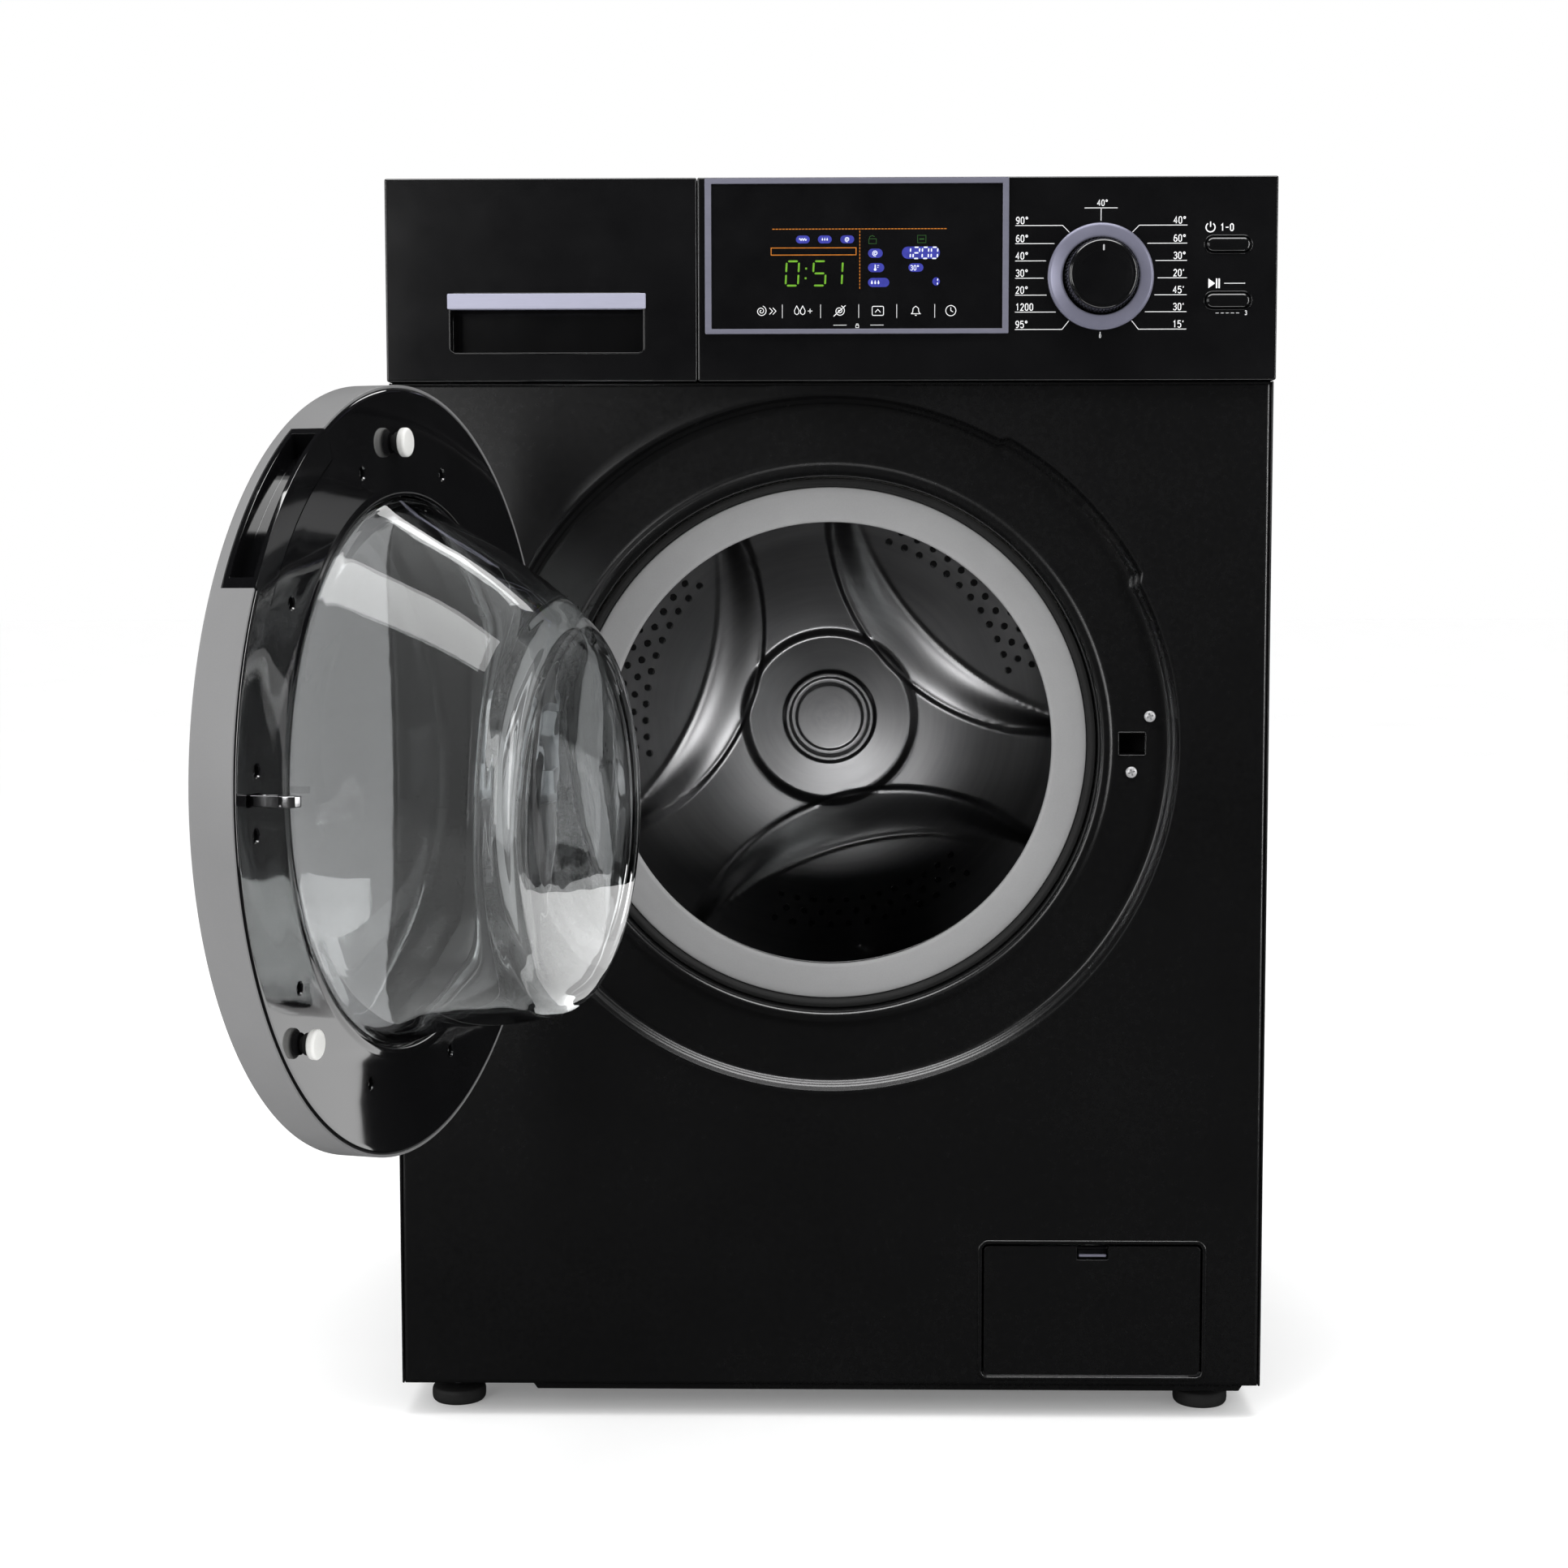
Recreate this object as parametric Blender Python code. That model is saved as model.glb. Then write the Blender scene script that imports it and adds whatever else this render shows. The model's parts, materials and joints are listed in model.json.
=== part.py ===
"""Front-loading washing machine, drum door standing open.

Metres, +Z up, the machine faces -Y. Every piece is modelled in the cabinet
frame (origin on the floor under the middle of the cabinet's footprint, with
the door shut and the drawer in) and hangs from one empty that moves the whole
machine so that the world origin lies under the middle of its overall box.
"""
import bmesh
import bpy
from math import asin, atan2, cos, degrees, hypot, pi, radians, sin, sqrt
from mathutils import Vector

# ------------------------------------------------------------ driving sizes
CABINET_SHIFT_X = 0.0166      # cabinet centre in world X
CABINET_SHIFT_Y = 0.2193      # cabinet centre in world Y
HALF_W = 0.2985               # half of the cabinet's 597 mm width
HEIGHT = 0.850                # top of the cover
FRONT_Y = -0.280              # outer face of the front panel
CONSOLE_Y = -0.286            # outer face of the console
REAR_Y = 0.268                # inner face of the rear panel
SEAM_Z = 0.7142               # joint between front panel and console
SKIRT_Z = 0.0227              # lower edge of the cabinet skin
AXIS_Z = 0.4676               # height of the drum's axis
GAP = 0.0004                  # clearance between pieces that meet
SHEET = 0.0015                # sheet-metal thickness

DISH_R = 0.2376               # outer edge of the round door recess
DISH_FLOOR_R = 0.2315
DISH_FLOOR_Y = -0.272
DISH_BUMP = 0.0042            # extra radius where fingers reach the door grip
PORT_R = 0.1835               # hole in the front panel
GASKET_OUT_R = 0.1765
GASKET_IN_R = 0.1528

DOOR_R = 0.2285
DOOR_IN_Y = -0.2830           # inner face of the shut door
DOOR_RIM_Y = -0.3100          # outer end of the rim
DOOR_CROWN_Y = -0.3150        # crown of the window cover
HINGE_X = -0.2103
HINGE_Y = -0.2965
DOOR_OPEN = radians(104.4)
LATCH_X, LATCH_Z = 0.2062, 0.4680

DRUM_R = 0.2350
DRUM_FRONT_Y = -0.2050
DRUM_BACK_Y = 0.1000
TUB_R = 0.2500
PULLEY_R = 0.1300
MOTOR_PULLEY_R = 0.0130
MOTOR_X, MOTOR_Z = -0.0600, 0.1200
BELT_Y0, BELT_Y1 = 0.1680, 0.1800

KNOB_X, KNOB_Z = 0.1806, 0.7828
KNOB_R = 0.0236
KNOB_RING_R = 0.0353
BUTTON_X, POWER_Z, START_Z = 0.2656, 0.8038, 0.7668
BUTTON_W, BUTTON_H = 0.0295, 0.0094

DRAWER_X0, DRAWER_X1 = -0.2985, -0.0893
HATCH_X0, HATCH_X1, HATCH_Z0, HATCH_Z1 = 0.1051, 0.2573, 0.0295, 0.1230
FOOT_X0, FOOT_X1, FOOT_Y0, FOOT_Y1 = -0.2640, 0.2620, -0.2400, 0.2350
FOOT_R = 0.0190

# ------------------------------------------------------------ clean scene
for old in list(bpy.data.objects):
    bpy.data.objects.remove(old, do_unlink=True)
scene = bpy.context.scene
scene.unit_settings.scale_length = 1.0


# ------------------------------------------------------------ materials
def material(name, colour, rough, metal=0.0, glass=0.0):
    mat = bpy.data.materials.new(name)
    mat.use_nodes = True
    bsdf = mat.node_tree.nodes["Principled BSDF"]
    bsdf.inputs["Base Color"].default_value = (*colour, 1.0)
    bsdf.inputs["Roughness"].default_value = rough
    bsdf.inputs["Metallic"].default_value = metal
    bsdf.inputs["Transmission Weight"].default_value = glass
    mat.diffuse_color = (*colour, 1.0)
    return mat


BLACK_STEEL = ((0.010, 0.010, 0.011), 0.32, 0.0)
BLACK_PLASTIC = ((0.008, 0.008, 0.009), 0.15, 0.0)
LAVENDER = ((0.30, 0.30, 0.38), 0.35, 0.3)
SILVER_GREY = ((0.34, 0.34, 0.35), 0.40, 0.2)
GREY_RUBBER = ((0.33, 0.33, 0.34), 0.60, 0.0)
BLACK_RUBBER = ((0.020, 0.020, 0.020), 0.70, 0.0)
STAINLESS = ((0.45, 0.45, 0.46), 0.25, 1.0)
ZINC = ((0.55, 0.55, 0.56), 0.40, 1.0)
GALVANISED = ((0.50, 0.51, 0.52), 0.45, 0.9)
WHITE_PLASTIC = ((0.75, 0.75, 0.73), 0.50, 0.0)
CONCRETE = ((0.40, 0.39, 0.37), 0.90, 0.0)
GREY_PLASTIC = ((0.28, 0.29, 0.30), 0.55, 0.0)
CLEAR = ((0.92, 0.95, 0.96), 0.02, 0.0, 1.0)
CHROME = ((0.80, 0.80, 0.82), 0.08, 1.0)
GREEN_BOARD = ((0.02, 0.16, 0.07), 0.50, 0.0)


# ------------------------------------------------------------ scene tree
def empty(name, location, parent=None, turn=0.0):
    obj = bpy.data.objects.new(name, None)
    obj.empty_display_size = 0.05
    obj.location = location
    obj.rotation_euler = (0.0, 0.0, turn)
    obj.parent = parent
    scene.collection.objects.link(obj)
    return obj


machine = empty("machine_origin", (CABINET_SHIFT_X, CABINET_SHIFT_Y, 0.0))
ROOT = (machine, Vector((0.0, 0.0, 0.0)))


def pivot(name, at, turn=0.0, under=ROOT):
    """An empty on a joint's axis. Pieces under it are still given in the cabinet frame, shut."""
    parent, base = under
    at = Vector(at)
    return empty(name, at - base, parent, turn), at


DRUM = pivot("drum_axis", (0.0, 0.0, AXIS_Z))
MOTOR = pivot("motor_axis", (MOTOR_X, 0.0, MOTOR_Z))
DOOR = pivot("door_hinge_axis", (HINGE_X, HINGE_Y, AXIS_Z), -DOOR_OPEN)
LATCH = pivot("latch_hook_axis", (LATCH_X, DOOR_IN_Y - 0.012, LATCH_Z), under=DOOR)
DRAWER = pivot("drawer_slide_axis", (0.5 * (DRAWER_X0 + DRAWER_X1), CONSOLE_Y, 0.77))
KNOB = pivot("knob_axis", (KNOB_X, CONSOLE_Y, KNOB_Z))
POWER = pivot("power_button_axis", (BUTTON_X, CONSOLE_Y, POWER_Z))
START = pivot("start_button_axis", (BUTTON_X, CONSOLE_Y, START_Z))
HATCH = pivot("hatch_axis", (0.5 * (HATCH_X0 + HATCH_X1), FRONT_Y + 0.0020, HATCH_Z0 + 0.0035))
FILTER = pivot("filter_axis", (0.5 * (HATCH_X0 + HATCH_X1), FRONT_Y, 0.0800))


# ------------------------------------------------------------ mesh helpers
def finish(name, bm, look, under=ROOT, smooth=35.0):
    parent, base = under
    bmesh.ops.recalc_face_normals(bm, faces=bm.faces)
    if bm.calc_volume(signed=True) < 0:
        bmesh.ops.reverse_faces(bm, faces=bm.faces)
    for vert in bm.verts:
        vert.co -= base
    mesh = bpy.data.meshes.new(name)
    bm.to_mesh(mesh)
    bm.free()
    if smooth:
        mesh.shade_smooth()
        mesh.set_sharp_from_angle(angle=radians(smooth))
    obj = bpy.data.objects.new(name, mesh)
    obj.parent = parent
    scene.collection.objects.link(obj)
    if look is not None:
        mesh.materials.append(material(name + "_finish", *look))
    return obj


def box_bm(x0, x1, y0, y1, z0, z1, bevel=0.0, segments=1):
    bm = bmesh.new()
    bmesh.ops.create_cube(bm, size=1.0)
    for v in bm.verts:
        v.co = Vector((x0 if v.co.x < 0 else x1, y0 if v.co.y < 0 else y1, z0 if v.co.z < 0 else z1))
    if bevel:
        bmesh.ops.bevel(bm, geom=bm.edges[:], offset=bevel, segments=segments, affect="EDGES", profile=0.5)
    return bm


def box(name, look, x0, x1, y0, y1, z0, z1, bevel=0.0, under=ROOT, segments=1):
    return finish(name, box_bm(x0, x1, y0, y1, z0, z1, bevel, segments), look, under)


def even_angles(count, start=0.0):
    return [start + 2.0 * pi * k / count for k in range(count)]


def skin(bm, loops, closed):
    """Quads between loops of equal length. A one-point loop is a pole. A closed skin joins the last loop to the first."""
    rings = [[bm.verts.new(p) for p in loop] for loop in loops]
    pairs = list(zip(rings, rings[1:]))
    if closed:
        pairs.append((rings[-1], rings[0]))
    for a, b in pairs:
        n = max(len(a), len(b))
        for k in range(n):
            m = (k + 1) % n
            if len(a) == 1:
                bm.faces.new((a[0], b[k], b[m]))
            elif len(b) == 1:
                bm.faces.new((a[k], b[0], a[m]))
            else:
                bm.faces.new((a[k], b[k], b[m], a[m]))
    return rings


def turned_bm(profile, count=48, cx=0.0, cz=AXIS_Z, angles=None, ring=None):
    """A solid turned about a line along Y through (cx, cz). profile is (radius, y) pairs; radius 0 makes a pole."""
    angles = angles or even_angles(count)
    ring = all(r > 0 for r, _ in profile) if ring is None else ring
    bm = bmesh.new()
    loops = []
    for r, y in profile:
        loops.append([(cx, y, cz)] if r == 0 else [(cx + r * cos(a), y, cz + r * sin(a)) for a in angles])
    skin(bm, loops, ring)
    return bm


def turned(name, look, profile, count=48, cx=0.0, cz=AXIS_Z, under=ROOT):
    return finish(name, turned_bm(profile, count, cx, cz), look, under)


def upright_bm(profile, count, cx, cy):
    """A solid turned about a vertical line through (cx, cy). profile is (radius, z) pairs."""
    bm = bmesh.new()
    loops = []
    for r, z in profile:
        loops.append([(cx, cy, z)] if r == 0 else [(cx + r * cos(a), cy + r * sin(a), z) for a in even_angles(count)])
    skin(bm, loops, all(r > 0 for r, _ in profile))
    return bm


def prism_bm(points, axis, low, high):
    """Outline points extruded along one axis: (x, y) for Z, (x, z) for Y, (y, z) for X."""
    place = {
        "Z": lambda p, h: (p[0], p[1], h),
        "Y": lambda p, h: (p[0], h, p[1]),
        "X": lambda p, h: (h, p[0], p[1]),
    }[axis]
    bm = bmesh.new()
    a = [bm.verts.new(place(p, low)) for p in points]
    b = [bm.verts.new(place(p, high)) for p in points]
    bm.faces.new(a)
    bm.faces.new(list(reversed(b)))
    n = len(points)
    for k in range(n):
        m = (k + 1) % n
        bm.faces.new((a[k], b[k], b[m], a[m]))
    return bm


def arc(cx, cy, r, a0, a1, steps):
    return [(cx + r * cos(radians(a0 + (a1 - a0) * k / steps)), cy + r * sin(radians(a0 + (a1 - a0) * k / steps))) for k in range(steps + 1)]


def rounded(x0, x1, z0, z1, r, steps=3):
    return (
        arc(x1 - r, z1 - r, r, 0, 90, steps)
        + arc(x0 + r, z1 - r, r, 90, 180, steps)
        + arc(x0 + r, z0 + r, r, 180, 270, steps)
        + arc(x1 - r, z0 + r, r, 270, 360, steps)
    )


def sector_bm(r0, r1, y0, y1, a0, a1, steps, cx=0.0, cz=AXIS_Z):
    outline = arc(cx, cz, r1, a0, a1, steps) + arc(cx, cz, r0, a1, a0, steps)
    return prism_bm(outline, "Y", y0, y1)


def combine(target, tool_bm, operation, under=ROOT, label="cutter"):
    """Adds or removes a closed shape with a Boolean modifier. The tool stays as a hidden helper."""
    tool = finish(target.name + "_" + label, tool_bm, None, under, smooth=0)
    tool.hide_render = True
    tool.display_type = "WIRE"
    tool.hide_set(True)
    mod = target.modifiers.new(label, "BOOLEAN")
    mod.operation = operation
    mod.solver = "EXACT"
    mod.object = tool
    return tool


def tube(name, look, points, radius, under=ROOT, cyclic=False, sides=2):
    parent, base = under
    curve = bpy.data.curves.new(name, "CURVE")
    curve.dimensions = "3D"
    curve.bevel_depth = radius
    curve.bevel_resolution = sides
    curve.use_fill_caps = True
    spline = curve.splines.new("POLY")
    spline.points.add(len(points) - 1)
    for p, q in zip(spline.points, points):
        p.co = (*(Vector(q) - base), 1.0)
    spline.use_cyclic_u = cyclic
    curve.materials.append(material(name + "_finish", *look))
    obj = bpy.data.objects.new(name, curve)
    obj.parent = parent
    scene.collection.objects.link(obj)
    return obj


# ============================================================ cabinet skin
def side_panel(name, sign):
    """Flat steel side. It steps back behind the console, and its front edge is folded round."""
    out, inn = sign * HALF_W, sign * (HALF_W - SHEET)
    front, back = FRONT_Y + 0.0022, CONSOLE_Y + 0.0246
    outline = [(front, SKIRT_Z), (REAR_Y, SKIRT_Z), (REAR_Y, 0.8236), (back, 0.8236), (back, SEAM_Z - GAP), (front, SEAM_Z - GAP)]
    bm = prism_bm(outline, "X", min(out, inn), max(out, inn))
    edges = [e for e in bm.edges if all(abs(v.co.x - out) < 1e-6 and abs(v.co.y - front) < 1e-6 for v in e.verts)]
    bmesh.ops.bevel(bm, geom=edges, offset=0.0011, segments=2, affect="EDGES", profile=0.5)
    return finish(name, bm, BLACK_STEEL)


side_panel("side_panel_left", -1.0)
side_panel("side_panel_right", 1.0)
box("rear_panel", BLACK_STEEL, -HALF_W + 0.0005, HALF_W - 0.0005, REAR_Y + GAP, REAR_Y + GAP + SHEET, SKIRT_Z + 0.001, 0.8236)
box("top_cover", BLACK_STEEL, -HALF_W, HALF_W, CONSOLE_Y + 0.0246, REAR_Y + 0.0060, 0.8240, HEIGHT, 0.0025, segments=2)

base = box("base_plate", BLACK_STEEL, -HALF_W + SHEET + GAP, HALF_W - SHEET - GAP, -0.2600, REAR_Y - GAP, 0.0240, 0.0270)
for label, fx in (("left", FOOT_X0), ("right", FOOT_X1)):
    for end, fy in (("front", FOOT_Y0), ("rear", FOOT_Y1)):
        combine(base, upright_bm([(0, 0.02), (0.0056, 0.02), (0.0056, 0.03), (0, 0.03)], 12, fx, fy), "DIFFERENCE", label="foot_hole_%s_%s" % (end, label))

# front panel: one sheet from the rectangular edge, over the round recess, to the port lip
PANEL_X, PANEL_Z0, PANEL_Z1 = HALF_W - 0.0070, SKIRT_Z, SEAM_Z - GAP
corner_angles = [atan2(z - AXIS_Z, x) % (2 * pi) for x in (-PANEL_X, PANEL_X) for z in (PANEL_Z0, PANEL_Z1)]
pocket_edges = [radians(a) for a in (155.2, 156.2, 203.8, 204.8)]
panel_angles = []
for a in even_angles(48):
    if all(abs(a - b) > radians(1.6) for b in corner_angles + pocket_edges):
        panel_angles.append(a)
panel_angles = sorted(panel_angles + corner_angles + pocket_edges)


def bump(a):
    """1 between 29 and 60 degrees, where the recess is widened for fingers, easing to 0 over 3 degrees."""
    d = degrees(a)
    return max(0.0, min(1.0, (d - 26.0) / 3.0, (63.0 - d) / 3.0))


def pocket(a):
    """1 on the hinge side, where the recess floor is pressed deeper."""
    d = abs(degrees(a) - 180.0)
    return 1.0 if d < 23.8 else 0.0


def rect_point(a, y):
    c, s = cos(a), sin(a)
    reach = []
    if abs(c) > 1e-9:
        reach.append(PANEL_X / abs(c))
    if s > 1e-9:
        reach.append((PANEL_Z1 - AXIS_Z) / s)
    if s < -1e-9:
        reach.append((PANEL_Z0 - AXIS_Z) / s)
    t = min(reach)
    return (t * c, y, AXIS_Z + t * s)


def panel_loop(radius, y, widen=0.0, deepen=0.0):
    return [
        ((radius + widen * bump(a)) * cos(a), y + deepen * pocket(a), AXIS_Z + (radius + widen * bump(a)) * sin(a))
        for a in panel_angles
    ]


T = SHEET
bm = bmesh.new()
skin(
    bm,
    [
        [rect_point(a, FRONT_Y) for a in panel_angles],
        panel_loop(DISH_R, FRONT_Y, DISH_BUMP),
        panel_loop(DISH_FLOOR_R, DISH_FLOOR_Y, DISH_BUMP * 0.6, 0.0035),
        panel_loop(0.1925, DISH_FLOOR_Y, 0.0, 0.0035),
        panel_loop(0.1890, DISH_FLOOR_Y - 0.0012),
        panel_loop(PORT_R, DISH_FLOOR_Y - 0.0012),
        panel_loop(PORT_R, -0.2570),
        panel_loop(PORT_R + T, -0.2570),
        panel_loop(PORT_R + T, DISH_FLOOR_Y + 0.0006),
        panel_loop(0.1925, DISH_FLOOR_Y + T, 0.0, 0.0035),
        panel_loop(DISH_FLOOR_R + T * 0.6, DISH_FLOOR_Y + T, DISH_BUMP * 0.6, 0.0035),
        panel_loop(DISH_R + T, FRONT_Y + T, DISH_BUMP),
        [rect_point(a, FRONT_Y + T) for a in panel_angles],
    ],
    True,
)
panel = finish("front_panel", bm, BLACK_STEEL)
combine(panel, prism_bm(rounded(HATCH_X0, HATCH_X1, HATCH_Z0, HATCH_Z1, 0.004, 2), "Y", FRONT_Y - 0.01, FRONT_Y + 0.01), "DIFFERENCE", label="hatch_opening")
combine(panel, box_bm(0.1974, 0.2147, DISH_FLOOR_Y - 0.01, DISH_FLOOR_Y + 0.01, 0.4616, 0.4762), "DIFFERENCE", label="latch_slot")

# ============================================================ console
fascia = box("console_fascia", BLACK_PLASTIC, DRAWER_X1 + GAP, HALF_W, CONSOLE_Y, CONSOLE_Y + 0.0240, SEAM_Z, 0.8490, 0.0020, segments=2)
combine(fascia, box_bm(DRAWER_X1 + 0.0030, HALF_W - 0.0030, CONSOLE_Y + 0.0030, CONSOLE_Y + 0.05, SEAM_Z + 0.0030, 0.8460), "DIFFERENCE", label="hollow")
combine(fascia, turned_bm([(0, CONSOLE_Y - 0.01), (0.0055, CONSOLE_Y - 0.01), (0.0055, CONSOLE_Y + 0.01), (0, CONSOLE_Y + 0.01)], 16, KNOB_X, KNOB_Z), "DIFFERENCE", label="knob_hole")


def pill(cx, cz, w, h, steps=5):
    r = h / 2
    return arc(cx + w / 2 - r, cz, r, -90, 90, steps) + arc(cx - w / 2 + r, cz, r, 90, 270, steps)


for label, z in (("power", POWER_Z), ("start", START_Z)):
    combine(fascia, prism_bm(pill(BUTTON_X, z, BUTTON_W + 0.0010, BUTTON_H + 0.0010), "Y", CONSOLE_Y - 0.01, CONSOLE_Y + 0.01), "DIFFERENCE", label=label + "_hole")

WIN_X0, WIN_X1, WIN_Z0, WIN_Z1 = -0.0790, 0.1146, 0.7490, 0.8440
bezel = box("display_bezel", LAVENDER, -0.0838, 0.1192, CONSOLE_Y - 0.0022, CONSOLE_Y - GAP, 0.7453, 0.8482, 0.0004)
combine(bezel, box_bm(WIN_X0, WIN_X1, CONSOLE_Y - 0.01, CONSOLE_Y + 0.01, WIN_Z0, WIN_Z1), "DIFFERENCE", label="window_opening")
box("display_window", BLACK_PLASTIC, WIN_X0 + GAP, WIN_X1 - GAP, CONSOLE_Y - 0.0016, CONSOLE_Y - GAP, WIN_Z0 + GAP, WIN_Z1 - GAP)
box("control_board", GREEN_BOARD, -0.0700, 0.2850, CONSOLE_Y + 0.0160, CONSOLE_Y + 0.0176, 0.7400, 0.8380)
turned("knob_ring", LAVENDER, [(0.0258, CONSOLE_Y - GAP), (KNOB_RING_R, CONSOLE_Y - GAP), (KNOB_RING_R, CONSOLE_Y - 0.0025), (KNOB_RING_R - 0.0030, CONSOLE_Y - 0.0055), (0.0258, CONSOLE_Y - 0.0055)], 28, KNOB_X, KNOB_Z)
turned(
    "control_knob", BLACK_PLASTIC,
    [(0, CONSOLE_Y - 0.0200), (0.0195, CONSOLE_Y - 0.0200), (0.0225, CONSOLE_Y - 0.0185), (KNOB_R + 0.0014, CONSOLE_Y - 0.0012), (0.0050, CONSOLE_Y - 0.0012), (0.0050, CONSOLE_Y + 0.0120), (0, CONSOLE_Y + 0.0120)],
    28, KNOB_X, KNOB_Z, KNOB,
)
for label, z, under in (("power_button", POWER_Z, POWER), ("start_button", START_Z, START)):
    finish(label, prism_bm(pill(BUTTON_X, z, BUTTON_W, BUTTON_H), "Y", CONSOLE_Y - 0.0022, CONSOLE_Y + 0.0080), BLACK_PLASTIC, under)

# ============================================================ detergent drawer
front = box("drawer_front", BLACK_PLASTIC, DRAWER_X0, DRAWER_X1, CONSOLE_Y, CONSOLE_Y + 0.0240, SEAM_Z, 0.8490, 0.0020, DRAWER, 2)
combine(front, prism_bm(rounded(-0.2560, -0.1246, 0.7325, 0.7775, 0.0040, 3), "Y", CONSOLE_Y - 0.01, CONSOLE_Y + 0.0200), "DIFFERENCE", DRAWER, "finger_recess")
box("drawer_handle_bar", LAVENDER, -0.2560 + GAP, -0.1246 - GAP, CONSOLE_Y - 0.0012, CONSOLE_Y + 0.0060, 0.7626, 0.7726, 0.0012, DRAWER, 2)
tray = box("drawer_tray", GREY_PLASTIC, -0.2850, -0.1030, CONSOLE_Y + 0.0244, -0.0250, 0.7400, 0.8060, 0.0, DRAWER)
for x0, x1 in ((-0.2825, -0.2250), (-0.2225, -0.1650), (-0.1625, -0.1055)):
    combine(tray, box_bm(x0, x1, CONSOLE_Y + 0.0280, -0.0285, 0.7430, 0.83), "DIFFERENCE", DRAWER, "well_%d" % round(-x0 * 1000))
housing = box("dispenser_housing", GREY_PLASTIC, -0.2900, -0.0980, CONSOLE_Y + 0.0250, 0.0000, 0.7330, 0.8200)
combine(housing, box_bm(-0.2872, -0.1008, CONSOLE_Y + 0.01, -0.0030, 0.7360, 0.8165), "DIFFERENCE", label="bay")

# water valve behind the rear panel, its hose thread standing out through it
valve = finish("inlet_valve", box_bm(-0.2500, -0.2050, 0.2150, REAR_Y - GAP, 0.7600, 0.8050, 0.003), WHITE_PLASTIC)
rear_panel = bpy.data.objects["rear_panel"]
combine(rear_panel, turned_bm([(0, 0.25), (0.0150, 0.25), (0.0150, 0.29), (0, 0.29)], 20, -0.2275, 0.7825), "DIFFERENCE", label="valve_hole")
combine(valve, turned_bm([(0, 0.2600), (0.0132, 0.2600), (0.0132, 0.2850), (0.0085, 0.2850), (0.0085, 0.2700), (0, 0.2700)], 20, -0.2275, 0.7825), "UNION", label="thread")

# ============================================================ door recess fittings
lock = box("door_lock", GREY_PLASTIC, 0.1920, 0.2240, DISH_FLOOR_Y + T + GAP, -0.2440, 0.4380, 0.5000, 0.0015)
combine(lock, box_bm(0.1978, 0.2172, -0.29, -0.2475, 0.4620, 0.4758), "DIFFERENCE", label="slot")

turned(
    "door_gasket", GREY_RUBBER,
    [
        (GASKET_OUT_R + 0.0062, -0.2600), (GASKET_OUT_R + 0.0020, -0.2600), (GASKET_OUT_R, -0.2545), (GASKET_IN_R + 0.0015, -0.2545),
        (GASKET_IN_R, -0.2530), (GASKET_IN_R, -0.2505), (0.1600, -0.2490), (0.1735, -0.2490), (0.1725, -0.2160),
        (0.1755, -0.2160), (0.1765, -0.2500), (GASKET_OUT_R + 0.0062, -0.2560),
    ],
    40,
)

# ============================================================ tub
turned(
    "tub_front", GREY_PLASTIC,
    [(0.1620, -0.2300), (0.1700, -0.2300), (0.1700, -0.2155), (0.2440, -0.2155), (TUB_R, -0.2110), (TUB_R, -0.0304), (0.2465, -0.0304), (0.2465, -0.2110), (0.1620, -0.2110)],
    32,
)
tub_rear = turned(
    "tub_rear", GREY_PLASTIC,
    [(0.2465, -0.0300), (TUB_R, -0.0300), (TUB_R, 0.1260), (0.2460, 0.1300), (0.0420, 0.1300), (0.0420, 0.1560), (0.0270, 0.1560), (0.0270, 0.1225), (0.2465, 0.1225)],
    32,
)
heater_r = 0.2408
heater_angles = (-97.0, -83.0)
for i, a in enumerate(heater_angles):
    combine(tub_rear, turned_bm([(0, 0.10), (0.0034, 0.10), (0.0034, 0.15), (0, 0.15)], 10, heater_r * cos(radians(a)), AXIS_Z + heater_r * sin(radians(a))), "DIFFERENCE", label="heater_hole_%d" % i)
xa, za = heater_r * cos(radians(-97)), AXIS_Z + heater_r * sin(radians(-97))
bend = [(xa * cos(pi * k / 8), -0.1500 - abs(xa) * sin(pi * k / 8), AXIS_Z - sqrt(heater_r**2 - (xa * cos(pi * k / 8)) ** 2)) for k in range(9)]
tube("heater", STAINLESS, [(xa, 0.1450, za)] + bend + [(-xa, 0.1450, za)], 0.0028, sides=1)

finish("front_counterweight", sector_bm(0.1800, 0.2420, -0.2500, -0.2160, 28, 152, 14), CONCRETE)


# springs hang the tub from the top frame, friction dampers stand under it
def spring_points(x0, z0, x1, z1, y, radius, turns, per_turn):
    a, b = Vector((x0, y, z0)), Vector((x1, y, z1))
    along = (b - a).normalized()
    side = Vector((0, 1, 0))
    third = along.cross(side)
    count = turns * per_turn
    out = []
    for k in range(count + 1):
        t = 2 * pi * k / per_turn
        out.append(a.lerp(b, k / count) + side * (radius * cos(t)) + third * (radius * sin(t)))
    return out


def damper(name, sign):
    """Sleeve and rod in one line from the base plate up to the tub's lower flank."""
    foot = Vector((sign * 0.2150, -0.0600, 0.0320))
    head = Vector((sign * 0.1560, -0.0600, 0.2640))
    along = (head - foot).normalized()
    length = (head - foot).length
    profile = [(0.0, 0.0), (0.0090, 0.0), (0.0110, 0.02), (0.0110, 0.62 * length), (0.0060, 0.62 * length), (0.0060, length), (0.0, length)]
    side = Vector((0, 1, 0))
    third = along.cross(side)
    bm = bmesh.new()
    loops = []
    for r, s in profile:
        c = foot + along * s
        loops.append([c] if r == 0 else [c + side * (r * cos(t)) + third * (r * sin(t)) for t in even_angles(12)])
    skin(bm, loops, False)
    return finish(name, bm, GREY_PLASTIC)


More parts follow.
